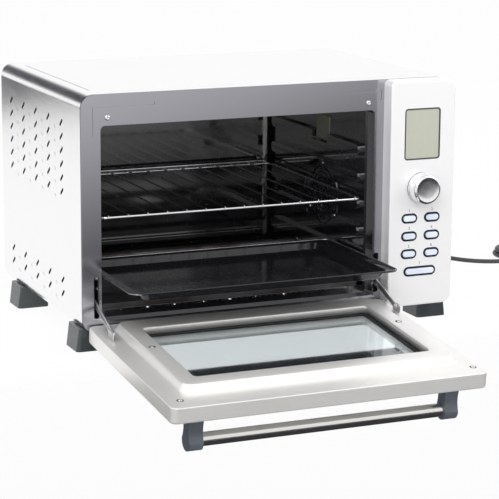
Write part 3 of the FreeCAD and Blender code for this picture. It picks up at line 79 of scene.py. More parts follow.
class OvenSizes(bpy.types.PropertyGroup):
    """Sizes of the pieces that are modelled here."""

    crease: length("Crease", "Radius of the pressed sheet's bends", 2.2 * MM)
    sheet: length("Sheet", "Thickness of the door's inner sheet", 0.8 * MM)
    frame_side: length("Frame side", "Raised frame beside the window", 27 * MM)
    frame_low: length("Frame low", "Raised frame under the window", 36 * MM)
    frame_top: length("Frame top", "Raised frame over the window", 30 * MM)
    frame_rise: length("Frame rise", "Height of the raised frame over the flange", 9.5 * MM)
    frame_slope: length("Frame slope", "Width of the raised frame's sloping side", 5 * MM)
    glass_lap: length("Glass lap", "How far the glass goes behind the window's edge", 5 * MM)
    tray_flange: length("Tray flange", "Width of the tray's side flange", 16 * MM)
    tray_slope: length("Tray slope", "Width of the tray well's sloping side", 6 * MM)
    rail: length("Rail", "Radius of the rack's frame wire", 1.9 * MM)
    cross_wire: length("Cross wire", "Radius of the rack's cross wires", 1.1 * MM)
    cross_wires: IntProperty(name="Cross wires", description="Cross wires on the rack", default=14)
    cord: length("Cord", "Diameter of the mains cord", 6.5 * MM)
    cord_long: length("Cord length", "Length of the mains cord from the bush to the plug", 1.25)
    coil: length("Coil", "Radius of the coil at the middle of its turns", 36 * MM)


class OvenColours(bpy.types.PropertyGroup):
    """Colours of the finishes."""

    case: colour("Case", "Brushed steel of the wrap and the panel", (0.95, 0.945, 0.955))
    door: colour("Door", "Brushed steel of the door", (0.90, 0.89, 0.87))
    bezel: colour("Bezel", "Coated steel of the front frame", (0.42, 0.42, 0.455))
    enamel: colour("Enamel", "Black enamel of the cavity and the tray", (0.012, 0.012, 0.015))
    moulding: colour("Moulding", "Handle posts", (0.085, 0.10, 0.12))
    foot: colour("Foot", "Feet", (0.045, 0.052, 0.055))
    button: colour("Button", "Button caps", (0.70, 0.75, 0.86))
    ring: colour("Ring", "Liners round the buttons", (0.012, 0.016, 0.035))
    display: colour("Display", "Unlit display", (0.50, 0.51, 0.43))
    cord: colour("Cord", "Sheath of the cord", (0.045, 0.045, 0.05))
    glass: colour("Glass", "Tint of the door's glass", (0.86, 0.93, 0.95))


class OvenView(bpy.types.PropertyGroup):
    """Where the camera stands and how it looks."""

    place: FloatVectorProperty(name="Place", description="Place of the camera", subtype="TRANSLATION",
                               default=(-1.0865, -2.6046, 0.6944), unit="LENGTH")
    heading: FloatProperty(name="Heading", description="Turn from straight at the front", subtype="ANGLE",
                           default=math.radians(23.474))
    pitch: FloatProperty(name="Pitch", description="Downward tilt", subtype="ANGLE",
                         default=math.radians(12.284))
    roll: FloatProperty(name="Roll", description="Roll", subtype="ANGLE", default=math.radians(0.393))
    lens: FloatProperty(name="Lens", description="Focal length in millimetres", default=149.76)


# ---- shader maths ----
class Link:
    """One output of a shader node. Arithmetic on it adds Math nodes to the same tree."""

    def __init__(self, finish, socket):
        self.finish, self.socket = finish, socket

    def maths(self, operation, *values):
        return self.finish.node("ShaderNodeMath", {"operation": operation}, dict(enumerate(values)))

    def __add__(self, other):
        return self.maths("ADD", self, other)

    def __sub__(self, other):
        return self.maths("SUBTRACT", self, other)

    def __rsub__(self, other):
        return self.maths("SUBTRACT", other, self)

    def __mul__(self, other):
        return self.maths("MULTIPLY", self, other)

    __radd__ = __add__
    __rmul__ = __mul__

    def between(self, low, high):
        """0 below low, 1 above high and a smooth rise from one to the other."""
        return self.finish.node("ShaderNodeMapRange", {"interpolation_type": "SMOOTHSTEP"},
                                {"Value": self, "From Min": low, "From Max": high})


class Finish:
    """A material or world that is being built."""

    def __init__(self, owner):
        self.owner = owner
        owner.use_nodes = True
        self.tree = owner.node_tree
        self.tree.nodes.clear()

    def node(self, kind, settings=None, values=None, output=0):
        """Any node: its settings first, then its sockets' values or links."""
        made = self.tree.nodes.new(kind)
        for key, value in (settings or {}).items():
            setattr(made, key, value)
        for key, value in (values or {}).items():
            if isinstance(value, Link):
                self.tree.links.new(value.socket, made.inputs[key])
            else:
                made.inputs[key].default_value = value
        return Link(self, made.outputs[output]) if made.outputs else made

    def noise(self, scale, detail=2.0, stretch=(1.0, 1.0, 1.0)):
        """Noise over the piece, stretched along each axis by its own scale."""
        place = self.node("ShaderNodeTexCoord", output="Object")
        place = self.node("ShaderNodeMapping", {}, {"Vector": place, "Scale": stretch})
        return self.node("ShaderNodeTexNoise", {}, {"Vector": place, "Scale": scale, "Detail": detail})

    def axis(self, index):
        place = self.node("ShaderNodeTexCoord", output="Object")
        return self.node("ShaderNodeSeparateXYZ", {}, {"Vector": place}, output=index)

    def mix(self, amount, first, second):
        """Colour mix: first where amount is 0 and second where it is 1."""
        first, second = (v if isinstance(v, Link) else (*v[:3], 1.0) for v in (first, second))
        return self.node("ShaderNodeMix", {"data_type": "RGBA"}, {0: amount, 6: first, 7: second}, output=2)

    def surface(self, base, roughness, metallic=0.0, bump=None, strength=0.2, depth=0.2 * MM, fixed=None):
        """Finish the material: what varies is linked, and the rest is set on the shader's own sockets."""
        base = base if isinstance(base, Link) else (*base[:3], 1.0)
        values = {"Base Color": base, "Roughness": roughness, "Metallic": metallic, **(fixed or {})}
        if bump is not None:
            values["Normal"] = self.node("ShaderNodeBump", {}, {"Height": bump, "Strength": strength,
                                                                "Distance": depth})
        shader = self.node("ShaderNodeBsdfPrincipled", {}, values)
        self.node("ShaderNodeOutputMaterial", {}, {"Surface": shader})
        return self.owner


def new_finish(name):
    return Finish(bpy.data.materials.new(name))


def shade_of(rgb, factor):
    return tuple(min(1.0, c * factor) for c in rgb)


# ---- finishes ----
HAIRLINE_SCALE, HAIRLINE_RATIO = 30.0, 90.0      # hairlines 0.4 mm apart and 33 mm long
STREAK_SCALE, STREAK_RATIO = 7.0, 40.0           # broader streaks 4 mm apart


def brushed_steel(name, rgb, along, roughness=0.30, metallic=1.0, contrast=0.10):
    """Steel brushed along one axis: hairlines, broader streaks and faint clouding."""
    f = new_finish(name)
    hair = [HAIRLINE_RATIO] * 3
    streak = [STREAK_RATIO] * 3
    hair[along] = streak[along] = 1.0
    lines = f.noise(HAIRLINE_SCALE, 3, hair)
    broad = f.noise(STREAK_SCALE, 2, streak)
    cloud = f.noise(9.0, 3)
    tone = lines * 0.5 + broad * 0.35 + cloud * 0.15
    base = f.mix(tone, shade_of(rgb, 1 - contrast), shade_of(rgb, 1 + contrast))
    return f.surface(base, (lines - 0.5) * 0.25 + (cloud - 0.5) * 0.08 + roughness, metallic,
                     bump=lines, strength=0.12, depth=0.05 * MM)


def polished_metal(name, rgb, roughness=0.10, contrast=0.04):
    """Bright plated or turned metal with faint handling marks."""
    f = new_finish(name)
    marks = f.noise(60.0, 4)
    base = f.mix(marks, shade_of(rgb, 1 - contrast), shade_of(rgb, 1 + contrast))
    return f.surface(base, (marks - 0.5) * 0.12 + roughness, 1.0, bump=marks, strength=0.03, depth=0.1 * MM)


def coated_steel(name, rgb, roughness=0.15):
    """Semi-gloss grey coating with a very fine grain."""
    f = new_finish(name)
    grain = f.noise(900.0, 2)
    cloud = f.noise(7.0, 3)
    base = f.mix(cloud, shade_of(rgb, 0.94), shade_of(rgb, 1.06))
    return f.surface(base, (grain - 0.5) * 0.10 + (cloud - 0.5) * 0.06 + roughness, 1.0,
                     bump=grain, strength=0.05, depth=0.05 * MM)


def enamel(name, rgb, roughness=0.10, gloss=1.0):
    """Glossy black enamel: a slow waviness and a few matt specks."""
    f = new_finish(name)
    wave = f.noise(16.0, 2)
    specks = f.noise(420.0, 3).between(0.66, 0.72)
    base = f.mix(specks, rgb, (0.06, 0.06, 0.065))
    return f.surface(base, specks * 0.25 + (wave - 0.5) * 0.08 + roughness, bump=wave, strength=0.10,
                     depth=0.6 * MM, fixed={"Specular IOR Level": gloss, "Coat Weight": gloss, "Coat Roughness": 0.06})


def moulded(name, rgb, roughness=0.42, grain_scale=1300.0):
    """Moulded plastic with a fine spark-eroded grain, paler where wear has rubbed it."""
    f = new_finish(name)
    grain = f.noise(grain_scale, 2)
    wear = f.noise(30.0, 4).between(0.45, 0.75)
    base = f.mix(wear, rgb, shade_of(rgb, 1.25))
    return f.surface(base, (grain - 0.5) * 0.18 + wear * 0.05 + roughness, bump=grain, strength=0.15,
                     depth=0.08 * MM)


def zinc_sheet(name, rgb, roughness=0.38):
    """Zinc-coated sheet with its patchwork of crystals."""
    f = new_finish(name)
    place = f.node("ShaderNodeTexCoord", output="Object")
    cells = f.node("ShaderNodeTexVoronoi", {}, {"Vector": place, "Scale": 120.0}, output="Color")
    tone = f.node("ShaderNodeSeparateColor", {}, {"Color": cells})
    base = f.mix(tone, shade_of(rgb, 0.88), shade_of(rgb, 1.10))
    return f.surface(base, tone * 0.12 + roughness, 0.9, bump=tone, strength=0.04, depth=0.05 * MM)


def stained_metal(name, rgb, stain, roughness=0.40):
    """Metal that heat has coloured unevenly."""
    f = new_finish(name)
    patch = f.noise(22.0, 4).between(0.35, 0.7)
    base = f.mix(patch, rgb, stain)
    return f.surface(base, patch * 0.15 + roughness, 0.85, bump=patch, strength=0.05, depth=0.1 * MM)


def clear_glass(name, tint):
    """Toughened glass, a little green, with faint wipe marks in its gloss."""
    f = new_finish(name)
    wipes = f.noise(14.0, 3, (1.0, 3.0, 1.0))
    return f.surface(tint, (wipes - 0.5) * 0.03 + 0.03,
                     fixed={"Transmission Weight": 1.0, "IOR": 1.5})


def display_face(name, rgb):
    """Unlit display: a faint vertical grain behind a clear, glossy face."""
    f = new_finish(name)
    grain = f.noise(60.0, 2, (20.0, 1.0, 1.0))
    base = f.mix(grain, shade_of(rgb, 0.95), shade_of(rgb, 1.05))
    return f.surface(base, grain * 0.06 + 0.30, fixed={"Coat Weight": 0.6, "Coat Roughness": 0.05})


def rubber(name, rgb, roughness=0.55):
    f = new_finish(name)
    grain = f.noise(700.0, 3)
    base = f.mix(grain, shade_of(rgb, 0.85), shade_of(rgb, 1.2))
    return f.surface(base, (grain - 0.5) * 0.15 + roughness, bump=grain, strength=0.12, depth=0.1 * MM)


# ---- meshes ----
def link_object(name, data):
    made = bpy.data.objects.new(name, data)
    bpy.context.scene.collection.objects.link(made)
    return made


def new_piece(name, points, faces, material, smooth=True):
    mesh = bpy.data.meshes.new(name)
    mesh.from_pydata([tuple(p) for p in points], [], faces)
    mesh.materials.append(material)
    made = bmesh.new()
    made.from_mesh(mesh)
    bmesh.ops.recalc_face_normals(made, faces=made.faces)
    made.to_mesh(mesh)
    made.free()
    for polygon in mesh.polygons:
        polygon.use_smooth = smooth
    return link_object(name, mesh)


def rounded_loop(u0, u1, v0, v1, radius, steps=8):
    """Points round a rounded rectangle, anticlockwise from its lower left corner."""
    corners = ((u0 + radius, v0 + radius, 180), (u1 - radius, v0 + radius, 270),
               (u1 - radius, v1 - radius, 0), (u0 + radius, v1 - radius, 90))
    points = []
    for cu, cv, start in corners:
        for k in range(steps + 1):
            turn = math.radians(start + 90 * k / steps)
            points.append((cu + radius * math.cos(turn), cv + radius * math.sin(turn)))
    return points


def softened(rings, size, steps=4):
    """Rings of numbers with each ring but the first and last rounded off over about size."""
    out = [rings[0]]
    for before, here, after in zip(rings, rings[1:], rings[2:]):
        ends = []
        for other in (before, after):
            reach = max(abs(a - b) for a, b in zip(other, here))
            share = min(0.45, size / reach)
            ends.append([h + (o - h) * share for o, h in zip(other, here)])
        for k in range(steps + 1):
            t = k / steps
            out.append([a * (1 - t) ** 2 + 2 * h * t * (1 - t) + b * t ** 2
                        for a, h, b in zip(ends[0], here, ends[1])])
    out.append(rings[-1])
    return out


def loops_piece(name, loops, material, close_first=False, close_last=False):
    """Skin over closed loops that all have the same number of points."""
    count = len(loops[0])
    points = [p for loop in loops for p in loop]
    faces = []
    for row in range(len(loops) - 1):
        for k in range(count):
            n = (k + 1) % count
            faces.append((row * count + k, row * count + n, (row + 1) * count + n, (row + 1) * count + k))
    if close_first:
        faces.append(tuple(range(count)))
    if close_last:
        faces.append(tuple(range((len(loops) - 1) * count, len(loops) * count)))
    return new_piece(name, points, faces, material)


def thicken(piece, thickness):
    """Give a sheet its thickness, on the side away from its normals."""
    solid = piece.modifiers.new("sheet", "SOLIDIFY")
    solid.thickness, solid.offset = thickness, -1.0
    return piece


def turned(name, profile, start, direction, material, sides=48, wave=None):
    """Round piece: profile is (along, radius) pairs, from start along direction."""
    turn = Vector(direction).to_track_quat("Z", "Y").to_matrix()
    loops = []
    for along, radius in profile:
        loop = []
        for k in range(sides):
            angle = math.tau * k / sides
            r = radius * (wave(k, along) if wave else 1.0)
            loop.append(Vector(start) + turn @ Vector((r * math.cos(angle), r * math.sin(angle), along)))
        loops.append(loop)
    return loops_piece(name, loops, material, True, True)


def wires(name, paths, radius, material, closed=(), smooth_ends=True):
    """Round wires along paths of points, as one curve object."""
    data = bpy.data.curves.new(name, "CURVE")
    data.dimensions = "3D"
    data.bevel_depth, data.bevel_resolution = radius, 4
    data.use_fill_caps = smooth_ends
    data.materials.append(material)
    for number, path in enumerate(paths):
        spline = data.splines.new("POLY")
        spline.points.add(len(path) - 1)
        for point, place in zip(spline.points, path):
            point.co = (*place, 1.0)
        spline.use_cyclic_u = number in closed
        spline.use_smooth = True
    return link_object(name, data)


def dress(material, *nodes):
    """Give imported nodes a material."""
    for name in nodes:
        for slot in frame["nodes"][name].material_slots:
            slot.material = material


def soften_edges(width, *nodes):
    """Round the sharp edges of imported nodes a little, as pressing and moulding do."""
    for name in nodes:
        node = frame["nodes"][name]
        node.modifiers.new("join", "WELD").merge_threshold = 0.001 * MM
        bevel = node.modifiers.new("edges", "BEVEL")
        bevel.width, bevel.segments, bevel.limit_method = width, 3, "ANGLE"
        bevel.angle_limit = math.radians(40)
        bevel.harden_normals = True
        bevel.use_clamp_overlap = True


def middle_of(node):
    low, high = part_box(node)
    return (low + high) / 2


# ---- the door's own frame: drawn shut, then swung open ----
HINGE = next(j for j in frame["joints"] if j["name"] == "door_hinge")
HINGE_AT = Vector(HINGE["pos_m"])
SWING = (Matrix.Translation(HINGE_AT) @ Matrix.Rotation(math.radians(HINGE["range_deg"][1]), 4, "X")
         @ Matrix.Translation(-HINGE_AT))


def shut_box(node):
    """Lowest and highest corner of one of the door's nodes with the door shut."""
    back = SWING.inverted()
    places = [back @ v.co for v in frame["nodes"][node].data.vertices]
    low = Vector(min(p[k] for p in places) for k in range(3))
    high = Vector(max(p[k] for p in places) for k in range(3))
    return low, high


def open_up(piece):
    piece.data.transform(SWING)
    return piece


def ring_xz(x0, x1, z0, z1, radius, y):
    return [(u, y, v) for u, v in rounded_loop(x0, x1, z0, z1, radius)]


# ---- operators: the camera and the cord come first ----
class OvenOperator(bpy.types.Operator):
    """Base of the oven's operators."""

    bl_idname = "oven.base"
    bl_label = "Oven"
    bl_options = {"REGISTER", "UNDO"}


class OVEN_OT_camera(OvenOperator):
    """Place the camera at its usual angle, with no depth of field"""

    bl_idname = "oven.camera"
    bl_label = "Camera"

    def execute(self, context):
        view = context.scene.oven_view
        data = bpy.data.cameras.new("camera")
        data.lens, data.sensor_width, data.clip_end = view.lens, 36.0, 50.0
        camera = link_object("camera", data)
        turn = (Matrix.Rotation(-view.heading, 4, "Z")
                @ Matrix.Rotation(math.pi / 2 - view.pitch, 4, "X") @ Matrix.Rotation(view.roll, 4, "Z"))
        camera.matrix_world = Matrix.Translation(Vector(view.place)) @ turn
        context.scene.camera = camera
        return {"FINISHED"}


CORD_ROUTE = [(0.210, 0.197, 0.062), (0.210, 0.227, 0.062), (0.216, 0.261, 0.044), (0.234, 0.294, 0.018),
              (0.267, 0.320, 0.00325), (0.312, 0.323, 0.00325), (0.360, 0.304, 0.00325),
              (0.397, 0.266, 0.00325), (0.418, 0.216, 0.00325), (0.429, 0.164, 0.00325),
              (0.449, 0.118, 0.00325), (0.482, 0.092, 0.00325), (0.520, 0.085, 0.00325),
              (0.555, 0.086, 0.00325)]
COIL_STEPS = 12            # control points in one turn
COIL_TURNS = 3


def coil_points(sizes):
    """Control points of the turns: one outside, one inside it and one on top of both."""
    entry = Vector(CORD_ROUTE[-1])
    centre = Vector((entry.x + sizes.cord / 2, entry.y + sizes.coil + sizes.cord / 2, entry.z))
    outer, inner = sizes.coil + sizes.cord / 2, sizes.coil - sizes.cord / 2
    tracks = (outer, inner, sizes.coil)
    grow = 1 / math.cos(math.pi / COIL_STEPS)      # the curve runs inside its control points
    points = []
    for step in range(COIL_STEPS * COIL_TURNS + 1):
        turn, part = divmod(step, COIL_STEPS)
        radius = tracks[min(turn, COIL_TURNS - 1)]
        shift = max(0.0, part - (COIL_STEPS - 2)) / 2
        if turn < COIL_TURNS - 1:
            radius += (tracks[turn + 1] - radius) * shift
        lift = sizes.cord if turn >= 2 else sizes.cord * max(0.0, part - (COIL_STEPS - 4)) / 3 * (turn == 1)
        angle = math.tau * step / COIL_STEPS - math.pi / 2
        points.append(centre + Vector((math.cos(angle) * radius * grow, math.sin(angle) * radius * grow,
                                       min(lift, sizes.cord))))
    return points


class OVEN_OT_cord(OvenOperator):
    """Lay the mains cord from its bush to the coil and the plug"""

    bl_idname = "oven.cord"
    bl_label = "Mains cord"

    def execute(self, context):
        sizes, colours = context.scene.oven_sizes, context.scene.oven_colours
        sheath = rubber("cord_sheath", colours.cord, 0.45)
        plug = self.plug(sizes, sheath)
        bush = self.bush(sheath)
        low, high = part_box("mains_plug")
        route = [Vector(p) for p in CORD_ROUTE] + coil_points(sizes)
        end = route[-1]
        route += [Vector((end.x + 14 * MM, end.y + 0.5 * MM, (low.z + high.z) / 2 - 0.5 * MM)),
                  Vector((end.x + 26 * MM, (low.y + high.y) / 2, (low.z + high.z) / 2))]
        data = bpy.data.curves.new("mains_cord_run", "CURVE")
        data.dimensions = "3D"
        data.bevel_depth, data.bevel_resolution, data.resolution_u = sizes.cord / 2, 6, 6
        data.use_fill_caps = True
        data.materials.append(sheath)
        spline = data.splines.new("NURBS")
        spline.points.add(len(route) - 1)
        for point, place in zip(spline.points, route):
            point.co = (*place, 1.0)
        spline.order_u = 3
        spline.use_endpoint_u = True
        spline.use_smooth = True
        cord = link_object("mains_cord_run", data)
        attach(cord, "oven")
        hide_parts("mains_cord", "cord_coil")
        return {"FINISHED"}

    def bush(self, material):
        """Tapered strain relief with ribs round it."""
        low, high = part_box("strain_relief")
        centre = (low + high) / 2
        start, tip = low.y, high.y
        profile = [(0.0, 5.4 * MM), (0.3 * MM, 5.9 * MM), (6.4 * MM, 5.9 * MM), (6.8 * MM, 8.6 * MM),
                   (7.2 * MM, 9.0 * MM), (9.2 * MM, 9.0 * MM), (9.8 * MM, 8.4 * MM)]
        ribs = 6
        first = 10.0 * MM
        pitch = (tip - start - first) / ribs
        for k in range(ribs):
            thick = 6.6 * MM - 1.9 * MM * k / ribs
            at = first + pitch * k
            profile += [(at, thick - 1.3 * MM), (at + pitch * 0.35, thick - 1.3 * MM),
                        (at + pitch * 0.45, thick), (at + pitch * 0.85, thick - 0.2 * MM)]
        profile.append((tip - start, 3.6 * MM))
        piece = turned("cord_bush", profile, (centre.x, start, centre.z), (0, 1, 0), material)
        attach(piece, "oven")
        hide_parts("strain_relief")
        return piece

    def plug(self, sizes, material):
        """Flat moulded plug with finger grooves, and two round pins."""
        low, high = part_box("mains_plug")
        yc, zc = (low.y + high.y) / 2, (low.z + high.z) / 2
        half_y, half_z = (high.y - low.y) / 2, (high.z - low.z) / 2
        body_end = high.x - 19 * MM
        stations = [(0.0, 4.3), (0.3, 4.6), (3, 5.0), (8, 5.4), (14, 6.2), (20, 7.4), (25, 9.6),
                    (30, 10.6), (36, 10.9), (38, 10.2), (40, 10.9), (42, 10.2), (44, 10.9), (46, 10.2),
                    (48, 10.9), (60, 11.0), (66, 10.9), (68, 10.2)]
        total = body_end - low.x
        loops = []
        for along, tall in stations:
            x = low.x + total * along / 68
            wide = min(half_y / MM, tall + max(0.0, (along - 18) * 0.9)) * MM
            tall = min(half_z, tall * MM)
            loops.append([(x, yc + u, zc + v) for u, v in
                          rounded_loop(-wide, wide, -tall, tall, min(wide, tall) * 0.7, 5)])
        piece = loops_piece("plug_body", loops, material, True, True)
        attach(piece, "oven")
        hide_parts("mains_plug")
        brass = polished_metal("plug_pin_metal", (0.80, 0.74, 0.60), 0.2)
        for number, shift in enumerate((-9.5 * MM, 9.5 * MM), 1):
            pin = turned(f"plug_pin_{number}", [(0.0, 2.4 * MM), (16.5 * MM, 2.4 * MM), (18.2 * MM, 1.9 * MM),
                                                (18.9 * MM, 0.9 * MM)],
                         (body_end - 0.3 * MM, yc + shift, zc), (1, 0, 0), brass, 24)
            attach(pin, "oven")
        return piece


class OVEN_OT_casing(OvenOperator):
    """Finish the wrap, the back, the base and what only the service door would show"""

    bl_idname = "oven.casing"
    bl_label = "Casing"

    def execute(self, context):
        colours = context.scene.oven_colours
        dress(brushed_steel("case_steel", colours.case, Y, 0.22, contrast=0.03), "casing_wrap")
        dress(zinc_sheet("case_zinc", (0.62, 0.63, 0.65)), "rear_panel", "base_plate")
        dress(zinc_sheet("inner_zinc", (0.55, 0.56, 0.58)), "heat_shield", "fan_shroud")
        dress(moulded("board_green", (0.03, 0.16, 0.07), 0.35), "control_board")
        dress(moulded("switch_black", (0.03, 0.03, 0.03)), "encoder", "display_module")
        dress(stained_metal("motor_steel", (0.45, 0.45, 0.46), (0.30, 0.27, 0.22)), "fan_motor")
        return {"FINISHED"}


class OVEN_OT_bezel(OvenOperator):
    """Finish the grey front frame and put its screws in"""

    bl_idname = "oven.bezel"
    bl_label = "Front frame"

    def execute(self, context):
        colours = context.scene.oven_colours
        dress(coated_steel("bezel_coat", colours.bezel), "front_bezel")
        screws = screw_heads("bezel_screw", "bezel_screws", (0, -1, 0), 3.4 * MM, 1.7 * MM, "oven")
        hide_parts("bezel_screws")
        return {"FINISHED"}


def parts_of(node):
    """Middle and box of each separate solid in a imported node."""
    made = bmesh.new()
    made.from_mesh(frame["nodes"][node].data)
    bmesh.ops.remove_doubles(made, verts=made.verts, dist=0.001 * MM)
    left, found = set(made.verts), []
    while left:
        stack, seen = [left.pop()], []
        while stack:
            vert = stack.pop()
            seen.append(vert.co.copy())
            for edge in vert.link_edges:
                other = edge.other_vert(vert)
                if other in left:
                    left.remove(other)
                    stack.append(other)
        low = Vector(min(p[k] for p in seen) for k in range(3))
        high = Vector(max(p[k] for p in seen) for k in range(3))
        found.append(((low + high) / 2, low, high))
    made.free()
    return sorted(found, key=lambda item: tuple(round(c, 4) for c in item[0]))


def screw_heads(name, node, out, radius, high, body):
    """Domed cross-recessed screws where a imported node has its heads. out points away from the sheet."""
    steel = bpy.data.materials.get("screw_steel") or polished_metal("screw_steel", (0.86, 0.86, 0.86), 0.16)
    direction = Vector(out).normalized()
    made = []
    for number, (middle, low, high_corner) in enumerate(parts_of(node), 1):
        reach = abs((high_corner - low).dot(direction)) / 2
        seat = middle - direction * reach
        made.append(cross_screw(f"{name}_{number}", seat, direction, radius, min(high, 2 * reach), steel))
        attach(made[-1], body)
    return made


def cross_screw(name, seat, direction, radius, high, material, sides=32):
    """Dome with a cross pressed into it."""
    turn = direction.to_track_quat("Z", "Y").to_matrix()
    rings = [(1.0, 0.0), (1.0, 0.25), (0.93, 0.52), (0.8, 0.74), (0.62, 0.90), (0.5, 0.95), (0.36, 0.98),
             (0.22, 1.0), (0.1, 1.0)]
    loops = []
    for share, rise in rings:
        loop = []
        for k in range(sides):
            angle = math.tau * k / sides
            u, v = share * math.cos(angle), share * math.sin(angle)
            in_cross = min(abs(u), abs(v)) < 0.14 and share < 0.56
            height = high * (rise - (0.45 if in_cross else 0.0))
            loop.append(seat + turn @ Vector((u * radius, v * radius, height)))
        loops.append(loop)
    return loops_piece(name, loops, material, True, True)


class OVEN_OT_cavity(OvenOperator):
    """Finish the oven's inside: walls, grille, lamp plate, screws and crumb pan"""

    bl_idname = "oven.cavity"
    bl_label = "Cavity"

    def execute(self, context):
        colours = context.scene.oven_colours
        dress(enamel("cavity_enamel", colours.enamel), "cavity_left_wall", "cavity_right_wall",
              "cavity_roof", "cavity_floor", "cavity_back", "fan_grille")
        dress(stained_metal("crumb_sheet", (0.10, 0.10, 0.105), (0.05, 0.045, 0.04), 0.3), "crumb_tray")
        dress(moulded("mica", (0.34, 0.34, 0.28), 0.5, 400.0), "lamp_cover")
        dress(moulded("bulb", (0.75, 0.72, 0.62), 0.3, 300.0), "lamp")
        screws = screw_heads("wall_screw", "wall_screws", (-1, 0, 0), 2.4 * MM, 1.4 * MM, "oven")
        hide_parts("wall_screws")
        return {"FINISHED"}


class OVEN_OT_heating(OvenOperator):
    """Finish the heating rods, their ceramic ends and the fan"""

    bl_idname = "oven.heating"
    bl_label = "Heating and fan"

    def execute(self, context):
        dress(stained_metal("rod_metal", (0.20, 0.19, 0.19), (0.10, 0.07, 0.06), 0.45), "heating_rods")
        dress(moulded("ceramic", (0.75, 0.73, 0.68), 0.35, 500.0), "heater_ends")
        dress(stained_metal("fan_metal", (0.42, 0.42, 0.43), (0.26, 0.24, 0.22), 0.35), "fan_blade")
        dress(polished_metal("shaft_metal", (0.6, 0.6, 0.6), 0.25), "fan_shaft")
        return {"FINISHED"}


class OVEN_OT_rack(OvenOperator):
    """Bend the wire rack: a round frame, cross wires with hooked ends and a raised back rail"""

    bl_idname = "oven.rack"
    bl_label = "Wire rack"

    def execute(self, context):
        sizes = context.scene.oven_sizes
        chrome = polished_metal("rack_chrome", (0.84, 0.84, 0.86), 0.14)
        low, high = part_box("wire_rack")
        rail, cross = sizes.rail, sizes.cross_wire
        x0, x1 = low.x + rail, high.x - rail
        y0, y1 = low.y + rail, high.y - rail
        z = low.z + rail
        corner = 10 * MM
        loop = [(u, v, z) for u, v in rounded_loop(x0, x1, y0, y1, corner, 6)]
        back_z = high.z - rail * 0.8
        raised = [[(x0 + corner, y1 - 0.4 * MM, back_z), (x1 - corner, y1 - 0.4 * MM, back_z)]]
        outline = wires("rack_frame", [loop] + raised, rail, chrome, closed=(0,))
        wire_z = z + rail + cross - 0.3 * MM
        count = sizes.cross_wires
        paths = []
        for k in range(count):
            x = x0 + corner + (x1 - x0 - 2 * corner) * k / (count - 1)
            hook = [(x, y0 - rail + 0.2 * MM, z + rail * 0.5), (x, y0 - 0.6 * rail, z + rail * 1.5),
                    (x, y0 + 0.5 * rail, wire_z + 0.5 * MM)]
            paths.append(hook + [(x, y0 + 4 * rail, wire_z), (x, y1, wire_z)])
        # The cross wires get a darker copy of the frame's chrome: painted shade standing in for the dark cavity that
        # they reflect.
        chrome_painted_shade = polished_metal("rack_wire_chrome_painted_shade", (0.42, 0.42, 0.44), 0.2)
        grid = wires("rack_wires", paths, cross, chrome_painted_shade)
        for piece in (outline, grid):
            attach(piece, "rack")
        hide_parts("wire_rack")
        return {"FINISHED"}


class OVEN_OT_tray(OvenOperator):
    """Press the baking tray: rolled rim, wide side flanges, sloping well and rounded corners"""

    bl_idname = "oven.tray"
    bl_label = "Baking tray"

    def execute(self, context):
        sizes, colours = context.scene.oven_sizes, context.scene.oven_colours
        low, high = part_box("baking_tray")
        side, slope = sizes.tray_flange, sizes.tray_slope
        end = side / 2
        rim = 14 * MM
        flange_z = high.z - 1.6 * MM
        lip = high.z
        floor = low.z + 1.0 * MM
        rings = [
            (0.3, 0.3, rim, flange_z - 0.9 * MM), (0.0, 0.0, rim, flange_z + 0.3 * MM),
            (0.2, 0.2, rim, lip - 0.3 * MM), (1.0, 1.0, rim - MM, lip), (2.0, 2.0, rim - 2 * MM, lip - 0.6 * MM),
            (2.8, 2.8, rim - 3 * MM, flange_z), (side / MM - 1, end / MM - 0.5, 11 * MM, flange_z - 0.2 * MM),
            ((side + slope) / MM, (end + slope) / MM, 9 * MM, floor),
            ((side + slope) / MM + 6, (end + slope) / MM + 6, 8 * MM, floor)]
        rings = rings[:5] + softened(rings[5:], 1.6)
        loops = []
        for inset_x, inset_y, radius, z in rings:
            loops.append([(u, v, z) for u, v in rounded_loop(
                low.x + inset_x * MM, high.x - inset_x * MM, low.y + inset_y * MM, high.y - inset_y * MM,
                radius, 10)])
        black = enamel("tray_enamel_coat", shade_of(colours.enamel, 0.9), 0.14, 0.4)
        tray = thicken(loops_piece("tray_pan", loops, black, close_last=True), 0.9 * MM)
        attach(tray, "tray")
        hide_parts("baking_tray")
        bead = 1.3 * MM
        rim_path = [(u, v, lip - bead) for u, v in rounded_loop(low.x + bead, high.x - bead, low.y + bead,
                                                                high.y - bead, rim - bead, 10)]
        # The rim bead is grey steel round the black enamel tray: a painted highlight standing in for the bright
        # reflections off the rolled edge, with stain patches over it.
        rim_painted_highlight = stained_metal("tray_rim_steel_painted_highlight", (0.42, 0.42, 0.44), (0.22, 0.22, 0.23), 0.18)
        edge = wires("tray_rim", [rim_path], bead, rim_painted_highlight, closed=(0,))
        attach(edge, "tray")
        return {"FINISHED"}


class OVEN_OT_panel(OvenOperator):
    """Finish the control panel, the button liners and the plain numerals over the buttons"""

    bl_idname = "oven.panel"
    bl_label = "Control panel"

    def execute(self, context):
        colours = context.scene.oven_colours
        dress(brushed_steel("panel_steel_brushed", colours.case, X, 0.36, metallic=0.25, contrast=0.02),
              "control_panel")
        dress(moulded("ring_gloss", colours.ring, 0.22), "button_rings")
        soften_edges(0.3 * MM, "button_rings")
        ink = moulded("print_grey", (0.12, 0.12, 0.14), 0.6)
        face_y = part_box("control_panel")[0].y
        for number in range(1, 8):
            low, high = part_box(f"button_{number}")
            data = bpy.data.curves.new(f"numeral_{number}", "FONT")
            data.body, data.size, data.extrude = str(number), 5.5 * MM, 0.06 * MM
            data.align_x = "CENTER"
            data.materials.append(ink)
            mark = link_object(f"numeral_{number}", data)
            mark.rotation_euler = (math.pi / 2, 0, 0)
            mark.location = ((low.x + high.x) / 2, face_y - 0.02 * MM, high.z + 3.2 * MM)
            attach(mark, "oven")
        return {"FINISHED"}


